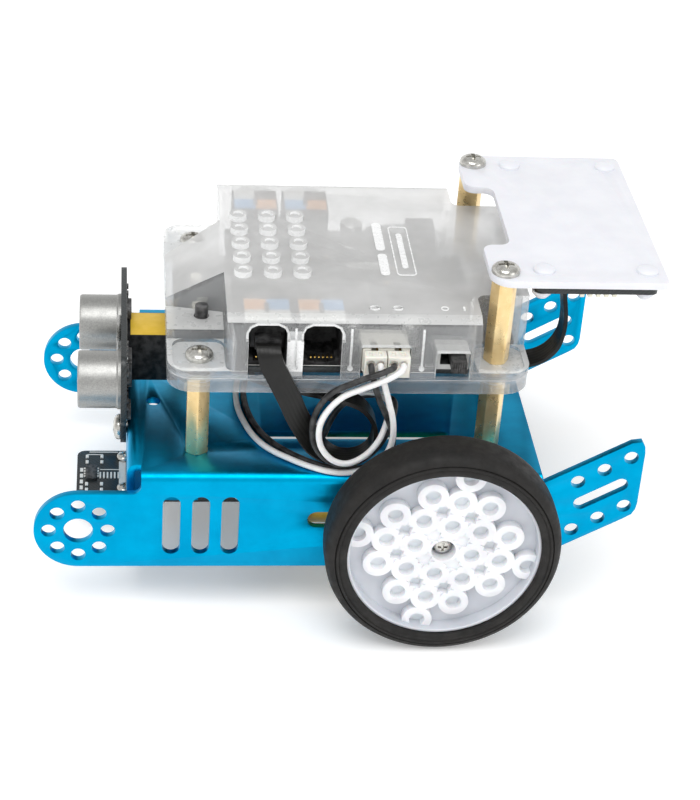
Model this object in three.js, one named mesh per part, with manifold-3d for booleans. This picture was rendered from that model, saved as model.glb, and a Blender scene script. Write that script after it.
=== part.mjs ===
// Two wheel robot car: folded metal chassis, two geared motors, a ball caster, a controller
// in a clear case on brass standoffs, two sensors and a rear display. Millimetres, +Z up,
// +X towards the front, +Y to the car's left. The origin is on the floor, under the middle.
import * as THREE from 'three';
import * as BufferGeometryUtils from 'three/addons/utils/BufferGeometryUtils.js';
import Module from 'manifold-3d';

const wasm = await Module();
wasm.setup();

// ---- Driving dimensions ----
const GAP = 0.3; // clearance between separate pieces
const HALF_WIDTH = 45.4; // outer face of a side wall
const SHEET = 2; // chassis sheet thickness
const WALL_BOTTOM = 14;
const DECK_TOP = 44;
const DECK_FRONT = 58.6;
const DECK_REAR = -54.6;
const WALL_STEP_X = 54.8; // where the wall steps down to the nose
const NOSE_X = 71.7;
const NOSE_Z = 26;
const NOSE_RADIUS = 12;
const TAIL_X = -82; // rear end of the walls
const TAIL_ANGLE = Math.PI / 6; // the tail rises at 30 degrees
const PITCH = 8; // hole pitch of the kit
const HOLE_RADIUS = 2; // holes for M4
const SHANK_RADIUS = 1.7; // screw shank, clear of its hole
const SLOT_Y = 24.9; // deck slots
const AXLE_X = -25.9;
const AXLE_Z = 32;
const TYRE_RADIUS = 32;
const TYRE_INNER_FACE = 52.4;
const TYRE_OUTER_FACE = 66.4;
const HUB_RADIUS = 26.5;
const HUB_OUTER_FACE = 64.6;
const HUB_DISC_FACE = 60.4;
const LATTICE_TOP = 62.8;
const LATTICE_TURN = (13 * Math.PI) / 180;
const SHAFT_RADIUS = 2.7;
const POST_X = [39.7, -40.3]; // standoffs, front and rear
const POST_Y = 32;
const POST_LENGTH = 25;
const POST_FLATS = 6; // across flats
const CASE_FRONT = 48.3;
const CASE_REAR = -48.9;
const CASE_HALF_WIDTH = 40.9;
const TRAY_BOTTOM = 68;
const TRAY_TOP = 72.2;
const CORNER_FLOOR = 73.6; // floor of the corner recesses
const CASE_TOP = 90;
const CASE_WALL = 1.5;
const BOARD_BOTTOM = 73;
const BOARD_TOP = 74.6;
const JACK_X = [22.2, 7.7]; // cable sockets along each side of the case
const MOTOR_SOCKET_X = -9.2;
const SWITCH_X = -27.4;
const JACK_FRONT = 37.6;
const BUTTON = { x: 38.8, y: 17, floor: 77.5 };
const BOARD_THICKNESS = 1.6;
const SENSOR_BOARD_X = 58.8; // rear face of the distance sensor's board
const CAN_Y = 15.5;
const CAN_Z = 55.9;
const CAN_RADIUS = 8;
const LINE_BOARD_TOP = 13.6;
const CASTER_X = 59.1;
const CASTER_SCREW_Y = 8;
const BALL_RADIUS = 5;
const PLATE_BOTTOM = 98.6; // display bracket
const PLATE_TOP = 100.6;
const PLATE_REAR = -83.7;
const DISPLAY_BOARD_TOP = 96.6;
const JACK_MOUTH_Z = 78.5; // the display's socket opens downwards
const RIVETS_X = [-50.8, -78.8];
const RIVET_Y = 30.8;
const CABLE_WIDTH = 6.4; // flat six-wire cable
const CABLE_THICKNESS = 2.4;
const LEAD_RADIUS = 0.85; // motor leads

// ---- Materials ----
function material(color, roughness, metalness) {
  return new THREE.MeshStandardMaterial({ color, roughness, metalness });
}
const BLUE = material(0x0a9fd8, 0.35, 0.8);
const YELLOW = material(0xe6b81e, 0.45, 0);
const BRASS = material(0xd2a452, 0.3, 1);
const STEEL = material(0xc9cac8, 0.25, 1);
const CLEAR = material(0xe4e8ea, 0.15, 0);
const BOARD = material(0x23282b, 0.5, 0.1);
const BLACK = material(0x141414, 0.5, 0);
const WHITE = material(0xf2f2f0, 0.45, 0);
const HUB = material(0xeceef0, 0.4, 0);
const RUBBER = material(0x26241f, 0.85, 0);
const PACK = material(0x3d6f9e, 0.5, 0);

// ---- Solids and booleans ----
function toSolid(geometry) {
  const plain = geometry.index ? geometry.toNonIndexed() : geometry.clone();
  plain.deleteAttribute('normal');
  plain.deleteAttribute('uv');
  const merged = BufferGeometryUtils.mergeVertices(plain, 1e-4);
  const mesh = new wasm.Mesh({
    numProp: 3,
    vertProperties: Float32Array.from(merged.attributes.position.array),
    triVerts: Uint32Array.from(merged.index.array),
  });
  return new wasm.Manifold(mesh);
}

function toGeometry(solid) {
  const mesh = solid.getMesh();
  const geometry = new THREE.BufferGeometry();
  geometry.setAttribute('position', new THREE.BufferAttribute(mesh.vertProperties, 3));
  geometry.setIndex(new THREE.BufferAttribute(mesh.triVerts, 1));
  geometry.computeVertexNormals();
  return geometry;
}

function join(...solids) {
  return solids.reduce((whole, solid) => whole.add(solid));
}

function cut(solid, ...tools) {
  return tools.reduce((whole, tool) => whole.subtract(tool), solid);
}

function box([x0, x1], [y0, y1], [z0, z1]) {
  const geometry = new THREE.BoxGeometry(x1 - x0, y1 - y0, z1 - z0);
  geometry.translate((x0 + x1) / 2, (y0 + y1) / 2, (z0 + z1) / 2);
  return toSolid(geometry);
}

function cylinderX(radius, [x0, x1], y, z, sides = 16) {
  const geometry = new THREE.CylinderGeometry(radius, radius, x1 - x0, sides);
  geometry.rotateZ(Math.PI / 2);
  geometry.translate((x0 + x1) / 2, y, z);
  return toSolid(geometry);
}

function cylinderY(radius, [y0, y1], x, z, sides = 16) {
  const geometry = new THREE.CylinderGeometry(radius, radius, y1 - y0, sides);
  geometry.translate(x, (y0 + y1) / 2, z);
  return toSolid(geometry);
}

function cylinderZ(radius, [z0, z1], x, y, sides = 16) {
  const geometry = new THREE.CylinderGeometry(radius, radius, z1 - z0, sides);
  geometry.rotateX(Math.PI / 2);
  geometry.translate(x, y, (z0 + z1) / 2);
  return toSolid(geometry);
}

// A profile of [radius, height] points turned about the Z axis.
function turned(profile, sides) {
  const points = profile.map(([radius, height]) => new THREE.Vector2(radius, height));
  const geometry = new THREE.LatheGeometry(points, sides);
  geometry.rotateX(Math.PI / 2);
  return toSolid(geometry);
}

function turnedX(profile, sides, x, y, z) {
  return turned(profile, sides).rotate([0, 90, 0]).translate([x, y, z]);
}

// Turned about a line along Y. Heights grow towards the car's left.
function turnedY(profile, sides, x, y, z) {
  return turned(profile, sides).rotate([-90, 0, 0]).translate([x, y, z]);
}

function turnedZ(profile, sides, x, y, z) {
  return turned(profile, sides).translate([x, y, z]);
}

function extruded(shape, depth, curveSegments) {
  return toSolid(new THREE.ExtrudeGeometry(shape, { depth, bevelEnabled: false, curveSegments }));
}

// A flat plate: its outline in X and Y, between two heights.
function plateXY(shape, [z0, z1], curveSegments = 4) {
  return extruded(shape, z1 - z0, curveSegments).translate([0, 0, z0]);
}

// An upright plate along the car: its outline in X and Z, between two Y.
function plateXZ(shape, [y0, y1], curveSegments = 4) {
  return extruded(shape, y1 - y0, curveSegments).rotate([90, 0, 0]).translate([0, y1, 0]);
}

// An upright plate across the car: its outline in Y and Z, between two X.
function plateYZ(shape, [x0, x1], curveSegments = 4) {
  return extruded(shape, x1 - x0, curveSegments).rotate([90, 0, 90]).translate([x0, 0, 0]);
}

function roundedRectangle([x0, x1], [y0, y1], radius) {
  const shape = new THREE.Shape();
  shape.moveTo(x0 + radius, y0);
  shape.lineTo(x1 - radius, y0);
  shape.absarc(x1 - radius, y0 + radius, radius, -Math.PI / 2, 0, false);
  shape.lineTo(x1, y1 - radius);
  shape.absarc(x1 - radius, y1 - radius, radius, 0, Math.PI / 2, false);
  shape.lineTo(x0 + radius, y1);
  shape.absarc(x0 + radius, y1 - radius, radius, Math.PI / 2, Math.PI, false);
  shape.lineTo(x0, y0 + radius);
  shape.absarc(x0 + radius, y0 + radius, radius, Math.PI, 1.5 * Math.PI, false);
  return shape;
}

// A slot with round ends between two centres.
function slotShape([x0, y0], [x1, y1], radius) {
  const along = Math.atan2(y1 - y0, x1 - x0);
  const shape = new THREE.Shape();
  shape.absarc(x1, y1, radius, along - Math.PI / 2, along + Math.PI / 2, false);
  shape.absarc(x0, y0, radius, along + Math.PI / 2, along + 1.5 * Math.PI, false);
  return shape;
}

function mirrored(solid) {
  return solid.mirror([0, 1, 0]);
}

// ---- Chassis ----
function wallShape() {
  const rise = Math.tan(TAIL_ANGLE);
  const tailLow = 32.2;
  const tailHigh = 57.6;
  const corner = 4;
  const shape = new THREE.Shape();
  shape.absarc(NOSE_X, NOSE_Z, NOSE_RADIUS, -Math.PI / 2, Math.PI / 2, false);
  shape.lineTo(WALL_STEP_X + 2.5, NOSE_Z + NOSE_RADIUS);
  shape.absarc(WALL_STEP_X + 2.5, NOSE_Z + NOSE_RADIUS + 2.5, 2.5, -Math.PI / 2, -Math.PI, true);
  shape.lineTo(WALL_STEP_X, DECK_TOP);
  shape.lineTo(DECK_REAR, DECK_TOP);
  shape.lineTo(DECK_REAR - 0.4, tailHigh - (DECK_REAR - 0.4 - TAIL_X) * rise);
  shape.lineTo(TAIL_X + corner, tailHigh - corner * rise);
  shape.quadraticCurveTo(TAIL_X, tailHigh, TAIL_X, tailHigh - corner * 1.4);
  shape.lineTo(TAIL_X, tailLow + corner * 0.8);
  shape.quadraticCurveTo(TAIL_X, tailLow, TAIL_X + corner * 0.8, tailLow - corner * 0.8 * rise);
  shape.lineTo(TAIL_X + (tailLow - WALL_BOTTOM) / rise, WALL_BOTTOM);
  return shape;
}

function wallCuts() {
  const across = [HALF_WIDTH - SHEET - 1, HALF_WIDTH + 1];
  const hole = (x, z, radius = HOLE_RADIUS, sides = 8) => cylinderY(radius, across, x, z, sides);
  const cuts = [hole(NOSE_X, NOSE_Z, 4, 12)];
  for (let i = 0; i < 8; i += 1) {
    const turn = (i * Math.PI) / 4;
    cuts.push(hole(NOSE_X + PITCH * Math.cos(turn), NOSE_Z + PITCH * Math.sin(turn)));
  }
  const tailHole = { x: -64.5, upper: 42.5, lower: 26.5 };
  for (let i = 0; i < 3; i += 1) {
    const x = tailHole.x - i * PITCH * Math.cos(TAIL_ANGLE);
    const climb = i * PITCH * Math.sin(TAIL_ANGLE);
    cuts.push(hole(x, tailHole.upper + climb), hole(x, tailHole.lower + climb));
  }
  cuts.push(plateXZ(slotShape([-66, 35.4], [-76.6, 41.6], HOLE_RADIUS), across, 3));
  for (const x of [46.5, 38.5, 30.5]) {
    cuts.push(plateXZ(slotShape([x, 20.6], [x, 34.8], 2.4), across, 3));
  }
  cuts.push(plateXZ(slotShape([6.8, 29.7], [0, 29.7], 2.6), across, 3));
  cuts.push(hole(AXLE_X, AXLE_Z, 4.5, 10));
  return cuts;
}

function chassis() {
  const wall = cut(plateXZ(wallShape(), [HALF_WIDTH - SHEET, HALF_WIDTH], 6), ...wallCuts());
  const deck = box([DECK_REAR, WALL_STEP_X], [-HALF_WIDTH, HALF_WIDTH], [DECK_TOP - SHEET, DECK_TOP]);
  const flange = box([WALL_STEP_X - 5, DECK_FRONT], [-41.4, 41.4], [DECK_TOP - SHEET, DECK_TOP]);
  const panel = box([DECK_FRONT - SHEET, DECK_FRONT], [-40, 40], [WALL_BOTTOM, DECK_TOP]);
  const lip = box([38, DECK_FRONT], [-14, 14], [WALL_BOTTOM, WALL_BOTTOM + SHEET]);
  const through = [DECK_TOP - SHEET - 1, DECK_TOP + 1];
  const cuts = [];
  for (const side of [-1, 1]) {
    for (const x of POST_X) {
      cuts.push(cylinderZ(HOLE_RADIUS, through, x, side * POST_Y, 8));
    }
    cuts.push(plateXY(slotShape([19.7, side * SLOT_Y], [-29.3, side * SLOT_Y], 2), through, 3));
    cuts.push(cylinderZ(HOLE_RADIUS, through, 51.2, side * PITCH, 8));
    cuts.push(cylinderX(HOLE_RADIUS, [DECK_FRONT - 4, DECK_FRONT + 1], side * 16, 40.6, 8));
    cuts.push(cylinderZ(HOLE_RADIUS, [WALL_BOTTOM - 1, WALL_BOTTOM + 3], CASTER_X - 8, side * CASTER_SCREW_Y, 8));
    cuts.push(cylinderZ(3.1, [WALL_BOTTOM - 1, WALL_BOTTOM + 1.5], CASTER_X, side * CASTER_SCREW_Y, 8));
  }
  return cut(join(wall, mirrored(wall), deck, flange, panel, lip), ...cuts);
}

// ---- Drive ----
function gearMotor() {
  const centreY = 33.8;
  const [rear, front] = [AXLE_X - 11, AXLE_X + 26];
  const gearbox = box([rear, front], [centreY - 9.4, centreY + 9.4], [AXLE_Z - 9.8, AXLE_Z + 9.8]);
  const collar = cylinderX(9.3, [front - 1, front + 9], centreY, AXLE_Z, 20);
  const can = cylinderX(9.4, [front + 8, front + 27], centreY, AXLE_Z, 20)
    .intersect(box([0, 40], [centreY - 7.6, centreY + 7.6], [AXLE_Z - 11, AXLE_Z + 11]));
  const boss = cylinderX(3, [front + 26, front + 29], centreY, AXLE_Z, 12);
  const bore = cylinderY(SHAFT_RADIUS + GAP, [centreY, centreY + 10], AXLE_X, AXLE_Z, 16);
  return cut(join(gearbox, collar, can, boss), bore);
}

function outputShaft() {
  return turnedY([[0, 34.5], [SHAFT_RADIUS, 34.5], [SHAFT_RADIUS, 58.4], [0, 58.4]], 16, AXLE_X, 0, AXLE_Z);
}

function tyre() {
  const bore = HUB_RADIUS + 0.3;
  const profile = [
    [bore, TYRE_INNER_FACE + 0.4],
    [29.4, TYRE_INNER_FACE],
    [TYRE_RADIUS - 0.9, TYRE_INNER_FACE + 1.2],
    [TYRE_RADIUS, TYRE_INNER_FACE + 3.6],
    [TYRE_RADIUS, TYRE_OUTER_FACE - 3.8],
    [TYRE_RADIUS - 0.9, TYRE_OUTER_FACE - 1.3],
    [29.4, TYRE_OUTER_FACE],
    [26.2, TYRE_OUTER_FACE - 0.4],
    [26.2, HUB_OUTER_FACE + 0.3],
    [bore, HUB_OUTER_FACE + 0.3],
    [bore, TYRE_INNER_FACE + 0.4],
  ];
  return turnedY(profile, 36, AXLE_X, 0, AXLE_Z);
}

// A cylinder along Y with flats square to the turned lattice, so that neighbours meet face to face.
function latticeBoss(radius, [y0, y1], a, b) {
  const c = Math.cos(LATTICE_TURN);
  const d = Math.sin(LATTICE_TURN);
  const x = AXLE_X + PITCH * (-a * c + b * d);
  const z = AXLE_Z + PITCH * (-a * d - b * c);
  const reach = radius / Math.cos(Math.PI / 8);
  const shape = new THREE.Shape();
  for (let i = 0; i < 8; i += 1) {
    const turn = LATTICE_TURN + Math.PI / 8 + (i * Math.PI) / 4;
    const point = [x + reach * Math.cos(turn), z + reach * Math.sin(turn)];
    if (i === 0) shape.moveTo(...point);
    else shape.lineTo(...point);
  }
  return plateXZ(shape, [y0, y1]);
}

function hub() {
  const inner = TYRE_INNER_FACE + 1;
  const back = HUB_DISC_FACE - 2;
  const profile = [
    [SHAFT_RADIUS + GAP, 49.4],
    [5, 49.4],
    [5, back],
    [HUB_RADIUS - 2, back],
    [HUB_RADIUS - 2, inner],
    [HUB_RADIUS, inner],
    [HUB_RADIUS, HUB_OUTER_FACE],
    [HUB_RADIUS - 0.9, HUB_OUTER_FACE],
    [HUB_RADIUS - 0.9, HUB_DISC_FACE],
    [3.2, HUB_DISC_FACE],
    [3.2, 59.4],
    [SHANK_RADIUS + GAP, 59.4],
    [SHANK_RADIUS + GAP, 58.7],
    [SHAFT_RADIUS + GAP, 58.7],
    [SHAFT_RADIUS + GAP, 49.4],
  ];
  const bosses = [];
  const sockets = [cylinderY(3.5, [HUB_DISC_FACE - 0.6, LATTICE_TOP + 1], AXLE_X, AXLE_Z, 16)];
  for (let a = -3; a <= 3; a += 1) {
    for (let b = -3; b <= 3; b += 1) {
      if (Math.abs(a) + Math.abs(b) <= 3) {
        bosses.push(latticeBoss(4.15, [HUB_DISC_FACE - 0.5, LATTICE_TOP], a, b));
        if ((a || b) && Math.max(Math.abs(a), Math.abs(b)) < 3) sockets.push(latticeBoss(1.9, [HUB_DISC_FACE + 0.2, LATTICE_TOP + 1], a, b));
      }
    }
  }
  const within = cylinderY(HUB_RADIUS - 0.45, [HUB_DISC_FACE - 1, LATTICE_TOP + 1], AXLE_X, AXLE_Z, 36);
  return cut(join(turnedY(profile, 24, AXLE_X, 0, AXLE_Z), join(...bosses).intersect(within)), ...sockets);
}

function hubScrew() {
  return turnedY([[0, 58.7], [1.5, 58.7], [1.5, 59.5], [2.5, 59.5], [2.1, 61.2], [0, 61.2]], 12, AXLE_X, 0, AXLE_Z);
}

function casterHousing() {
  const top = LINE_BOARD_TOP - BOARD_THICKNESS;
  const flange = plateXY(roundedRectangle([47.2, 66.5], [-11.6, 11.6], 3), [top - 2, top]);
  const cup = cylinderZ(7.6, [3.4, top - 1], CASTER_X, 0, 16);
  const seat = new THREE.SphereGeometry(BALL_RADIUS + GAP, 14, 9);
  seat.translate(CASTER_X, 0, BALL_RADIUS);
  const solid = [flange, cup];
  const cuts = [toSolid(seat)];
  for (const side of [-1, 1]) {
    solid.push(cylinderZ(1.6, [top - 1, WALL_BOTTOM + 3.4], CASTER_X - 8, side * CASTER_SCREW_Y, 8));
    cuts.push(cylinderZ(HOLE_RADIUS, [top - 3, top + 1], CASTER_X, side * CASTER_SCREW_Y, 8));
  }
  return cut(join(...solid), ...cuts);
}

function casterBall() {
  const geometry = new THREE.SphereGeometry(BALL_RADIUS, 16, 10);
  geometry.rotateX(Math.PI / 2);
  geometry.translate(CASTER_X, 0, BALL_RADIUS);
  return toSolid(geometry);
}

// ---- Fasteners ----
// A pan head screw, head up: its seat, its head radius and its shank length.
function panHead(seat, x, y, shank, headRadius = 3.8, headHeight = 2.4) {
  const profile = [
    [0, seat - shank],
    [SHANK_RADIUS, seat - shank],
    [SHANK_RADIUS, seat],
    [headRadius, seat],
    [headRadius, seat + headHeight * 0.4],
    [headRadius * 0.75, seat + headHeight * 0.9],
    [0, seat + headHeight],
  ];
  return turnedZ(profile, 10, x, y, 0);
}

function standoff(x, y, bottom, stud, turned = false) {
  const hexRadius = POST_FLATS / Math.sqrt(3);
  const hexagon = new THREE.Shape();
  for (let i = 0; i < 6; i += 1) {
    const turn = (i * Math.PI) / 3 + (turned ? Math.PI / 6 : 0);
    const corner = [x + hexRadius * Math.cos(turn), y + hexRadius * Math.sin(turn)];
    if (i === 0) hexagon.moveTo(...corner);
    else hexagon.lineTo(...corner);
  }
  const body = plateXY(hexagon, [bottom, bottom + POST_LENGTH]);
  const thread = cylinderZ(SHANK_RADIUS, [bottom - stud, bottom + 1], x, y, 8);
  const bore = cylinderZ(HOLE_RADIUS, [bottom + POST_LENGTH - 9, bottom + POST_LENGTH + 1], x, y, 8);
  return cut(join(body, thread), bore);
}

// ---- Controller case ----
function tray() {
  const outline = roundedRectangle([CASE_REAR, CASE_FRONT], [-CASE_HALF_WIDTH, CASE_HALF_WIDTH], 7);
  const pocket = roundedRectangle([CASE_REAR + 2, CASE_FRONT - 2], [-CASE_HALF_WIDTH + 2, CASE_HALF_WIDTH - 2], 5);
  const body = plateXY(outline, [TRAY_BOTTOM, TRAY_TOP], 3);
  const cuts = [plateXY(pocket, [TRAY_BOTTOM + 2.4, TRAY_TOP + 1], 3)];
  const bosses = [];
  for (const x of POST_X) {
    for (const side of [-1, 1]) {
      const y = side * POST_Y;
      bosses.push(cut(
        cylinderZ(5, [TRAY_BOTTOM + 2, TRAY_TOP], x, y, 10),
        cylinderZ(HOLE_RADIUS, [TRAY_BOTTOM, TRAY_TOP + 1], x, y, 8),
      ));
      cuts.push(cylinderZ(4.2, [TRAY_BOTTOM - 1, TRAY_BOTTOM + 1], x, y, 10));
      cuts.push(cylinderZ(HOLE_RADIUS, [TRAY_BOTTOM - 1, TRAY_TOP + 1], x, y, 8));
    }
  }
  for (const x of [26, -29]) {
    for (const side of [-1, 1]) {
      bosses.push(cylinderZ(2.5, [TRAY_BOTTOM + 2, BOARD_BOTTOM], x, side * 22, 6));
    }
  }
  return join(cut(body, ...cuts), ...bosses);
}

// The cover's raised body, inset by its wall thickness to make its inside.
function coverBody(inset) {
  const top = CASE_TOP - inset;
  const bottom = inset ? TRAY_TOP - 2 : TRAY_TOP;
  const front = 33 - inset;
  const rear = CASE_REAR + inset;
  const half = CASE_HALF_WIDTH - inset;
  const block = plateXY(roundedRectangle([rear, front], [-half, half], 2.5), [bottom, top], 2);
  const corners = [-1, 1].map((side) => {
    const [x0, x1] = [CASE_REAR - 2, -34.4 + inset];
    const edges = [26 - inset, CASE_HALF_WIDTH + 2].map((y) => side * y).sort((a, b) => a - b);
    return plateXY(roundedRectangle([x0, x1], edges, 2), [CORNER_FLOOR - 3, CASE_TOP + 1], 2);
  });
  const step = box([front - 4, CASE_FRONT - inset], [-24.5 + inset, 24.5 - inset], [bottom, BUTTON.floor - inset]);
  const sloped = block.intersect(coverSection(half, top, bottom));
  return join(cut(sloped, ...corners), step, coverTongue(inset, bottom));
}

// The cover seen from the front: its sides lean in a little and round over into the top.
function coverSection(half, top, bottom) {
  const side = [[half, bottom - 1], [half - 0.4, top - 6], [half - 1.5, top - 1.8], [half - 4.3, top]];
  const shape = new THREE.Shape();
  [...side, ...side.map(([y, z]) => [-y, z]).reverse()].forEach(([y, z], i) => {
    if (i === 0) shape.moveTo(y, z);
    else shape.lineTo(y, z);
  });
  return plateYZ(shape, [CASE_REAR - 1, CASE_FRONT + 1]);
}

// The slope that runs from the top down to the front edge, narrower at the front.
function coverTongue(inset, bottom) {
  const side = new THREE.Shape();
  side.moveTo(28, bottom);
  side.lineTo(CASE_FRONT - inset, bottom);
  side.lineTo(CASE_FRONT - inset, 80.2 - inset * 1.2);
  side.lineTo(33 - inset * 0.5, CASE_TOP - inset);
  side.lineTo(28, CASE_TOP - inset);
  const plan = new THREE.Shape();
  plan.moveTo(28, -16 + inset);
  plan.lineTo(CASE_FRONT, -12 + inset);
  plan.lineTo(CASE_FRONT, 12 - inset);
  plan.lineTo(28, 16 - inset);
  return plateXZ(side, [-20, 20]).intersect(plateXY(plan, [bottom, CASE_TOP]));
}

// A notch in a side wall, open at the bottom, with chamfered upper corners.
function wallNotch(x, width, top, chamfer, side) {
  const half = width / 2;
  const shape = new THREE.Shape();
  shape.moveTo(x - half, TRAY_TOP - 1);
  shape.lineTo(x + half, TRAY_TOP - 1);
  shape.lineTo(x + half, top - chamfer);
  shape.lineTo(x + half - chamfer, top);
  shape.lineTo(x - half + chamfer, top);
  shape.lineTo(x - half, top - chamfer);
  const across = [CASE_HALF_WIDTH - CASE_WALL - 3, CASE_HALF_WIDTH + 1].map((y) => side * y);
  return plateXZ(shape, across.sort((a, b) => a - b));
}

function cover() {
  const outline = roundedRectangle([CASE_REAR, CASE_FRONT], [-CASE_HALF_WIDTH, CASE_HALF_WIDTH], 6);
  const base = plateXY(outline, [TRAY_TOP, CORNER_FLOOR + 1], 3);
  const cuts = [coverBody(CASE_WALL)];
  for (const side of [-1, 1]) {
    const outer = CASE_HALF_WIDTH - CASE_WALL;
    const front = [33, CASE_FRONT - CASE_WALL];
    const rear = [CASE_REAR + CASE_WALL, -34.4];
    for (const [along, inner] of [[front, 24.5], [rear, 26]]) {
      const edges = [side * inner, side * outer].sort((a, b) => a - b);
      cuts.push(plateXY(roundedRectangle(along, edges, 3), [CORNER_FLOOR, CORNER_FLOOR + 1.5], 2));
    }
    for (const x of POST_X) {
      cuts.push(cylinderZ(HOLE_RADIUS, [TRAY_TOP - 1, CORNER_FLOOR + 1], x, side * POST_Y, 8));
    }
    for (const x of JACK_X) {
      cuts.push(wallNotch(x, 10.2, 87.6, 2.4, side));
      const depth = [30, JACK_FRONT + 0.1].map((y) => side * y).sort((a, b) => a - b);
      cuts.push(box([x - 6.5, x + 6.5], depth, [TRAY_TOP + 1, 88.15]));
    }
  }
  cuts.push(wallNotch(MOTOR_SOCKET_X, 13.4, 82, 0.6, 1));
  cuts.push(wallNotch(SWITCH_X, 9.2, 80.4, 0.6, 1));
  cuts.push(box([CASE_REAR - 1, CASE_REAR + 2], [-6.5, 6.5], [BOARD_TOP, 86]));
  cuts.push(cylinderZ(2.1, [BUTTON.floor - 3, BUTTON.floor + 1], BUTTON.x, BUTTON.y, 10));
  const body = cut(join(base, coverBody(0)), ...cuts);
  const studs = [];
  for (const x of [27.9, 19.9, 11.9]) {
    for (let row = -2; row <= 2; row += 1) {
      studs.push(cylinderZ(2.45, [CASE_TOP - 0.5, CASE_TOP + 1.7], x, row * PITCH, 8));
    }
  }
  return join(body, ...studs);
}

function mainBoard() {
  const shape = new THREE.Shape();
  const half = 38.6;
  shape.moveTo(-32, -half);
  shape.lineTo(30.5, -half);
  shape.lineTo(30.5, -22);
  shape.lineTo(46, -22);
  shape.lineTo(46, 22);
  shape.lineTo(30.5, 22);
  shape.lineTo(30.5, half);
  shape.lineTo(-32, half);
  shape.lineTo(-32, 23.5);
  shape.lineTo(-46.6, 23.5);
  shape.lineTo(-46.6, -23.5);
  shape.lineTo(-32, -23.5);
  const board = plateXY(shape, [BOARD_BOTTOM, BOARD_TOP]);
  const sunk = BOARD_TOP - 0.5;
  const motorSocket = box([MOTOR_SOCKET_X - 6.3, MOTOR_SOCKET_X + 6.3], [30, 40.4], [sunk, 81.4]);
  const switchBody = box([SWITCH_X - 4.4, SWITCH_X + 4.4], [33, 39], [sunk, 80.2]);
  const switchSlot = box([SWITCH_X - 3.6, SWITCH_X + 3.6], [34.6, 40], [BOARD_TOP + 1, 79.4]);
  const buttonBase = box([BUTTON.x - 3, BUTTON.x + 3], [BUTTON.y - 3, BUTTON.y + 3], [sunk, 75.6]);
  const usbSocket = box([CASE_REAR + CASE_WALL + 0.3, -34], [-6, 6], [sunk, 85.6]);
  const usbMouth = box([CASE_REAR, -40], [-4.2, 4.2], [77.4, 84.4]);
  return cut(join(board, motorSocket, switchBody, buttonBase, usbSocket), switchSlot, usbMouth);
}

// A cable socket: a box with a mouth on one end. Made with its mouth towards +Y.
function sideJack(x, side) {
  const [back, front] = [25, JACK_FRONT];
  const body = box([x - 6.4, x + 6.4], [back, front], [BOARD_TOP, 87.9]);
  const mouth = box([x - 4.9, x + 4.9], [back + 2, front + 1], [76.2, 86.4]);
  const jack = cut(body, mouth);
  return side < 0 ? mirrored(jack) : jack;
}

function sidePlug(x, side) {
  const plug = box([x - 4.5, x + 4.5], [28, 40.6], [79.3, 85.6]);
  const latch = box([x - 1.6, x + 1.6], [31, 41.2], [77.2, 79.8]);
  const whole = join(plug, latch);
  return side < 0 ? mirrored(whole) : whole;
}

function motorPlug(x) {
  return box([x - 2.95, x + 2.95], [40.7, 44.2], [74.9, 81.2]);
}

function switchKnob() {
  const x = SWITCH_X - 1.3;
  return box([x - 2, x + 2], [35, 43.4], [BOARD_TOP + 1.3, 79.1]);
}

function buttonCap() {
  const floor = BUTTON.floor;
  const profile = [
    [0, floor - 1.4],
    [1.6, floor - 1.4],
    [1.6, floor + 0.5],
    [1.8, floor + 0.5],
    [1.8, floor + 3.2],
    [1.5, floor + 3.5],
    [0, floor + 3.5],
  ];
  return turnedZ(profile, 10, BUTTON.x, BUTTON.y, 0);
}

function batteryPack() {
  const outline = roundedRectangle([-34, 14], [-17, 17], 2);
  return plateXY(outline, [TRAY_BOTTOM - 7, TRAY_BOTTOM], 2);
}

// ---- Distance sensor ----
function sensorBoard() {
  const wide = roundedRectangle([-28, 28], [47, 68.8], 4);
  const tab = roundedRectangle([-20, 20], [36.8, 50], 2.5);
  const across = [SENSOR_BOARD_X, SENSOR_BOARD_X + BOARD_THICKNESS];
  const holes = [-16, 16].map((y) => cylinderX(HOLE_RADIUS, [SENSOR_BOARD_X - 1, SENSOR_BOARD_X + 3], y, 40.6, 8));
  return cut(join(plateYZ(wide, across, 3), plateYZ(tab, across, 3)), ...holes);
}

function soundCan(side) {
  const start = SENSOR_BOARD_X + BOARD_THICKNESS;
  const profile = [
    [0, 0],
    [CAN_RADIUS + 0.3, 0],
    [CAN_RADIUS + 0.3, 1],
    [CAN_RADIUS, 1.2],
    [CAN_RADIUS, 11.4],
    [CAN_RADIUS - 0.4, 11.8],
    [6.4, 11.8],
    [6.4, 10.8],
    [0, 10.8],
  ];
  return turnedX(profile, 16, start, side * CAN_Y, CAN_Z);
}

function sensorJack() {
  const body = box([41.6, SENSOR_BOARD_X], [-6.5, 6.5], [50, 64.6]);
  return cut(body, box([40, 54], [-4.9, 4.9], [52, 62.4]));
}

function sensorPlug() {
  const plug = box([40, 53.4], [-4.5, 4.5], [53, 59.6]);
  return join(plug, box([39.2, 50], [-1.6, 1.6], [59, 61.2]));
}

// A round head screw through the sensor board and the front panel.
function sensorScrew(side) {
  const seat = SENSOR_BOARD_X + BOARD_THICKNESS;
  const profile = [[0, -5.1], [SHANK_RADIUS, -5.1], [SHANK_RADIUS, 0], [3.6, 0], [3.3, 0.9], [2.2, 1.8], [0, 2.1]];
  return turnedX(profile, 10, seat, side * 16, 40.6);
}

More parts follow.
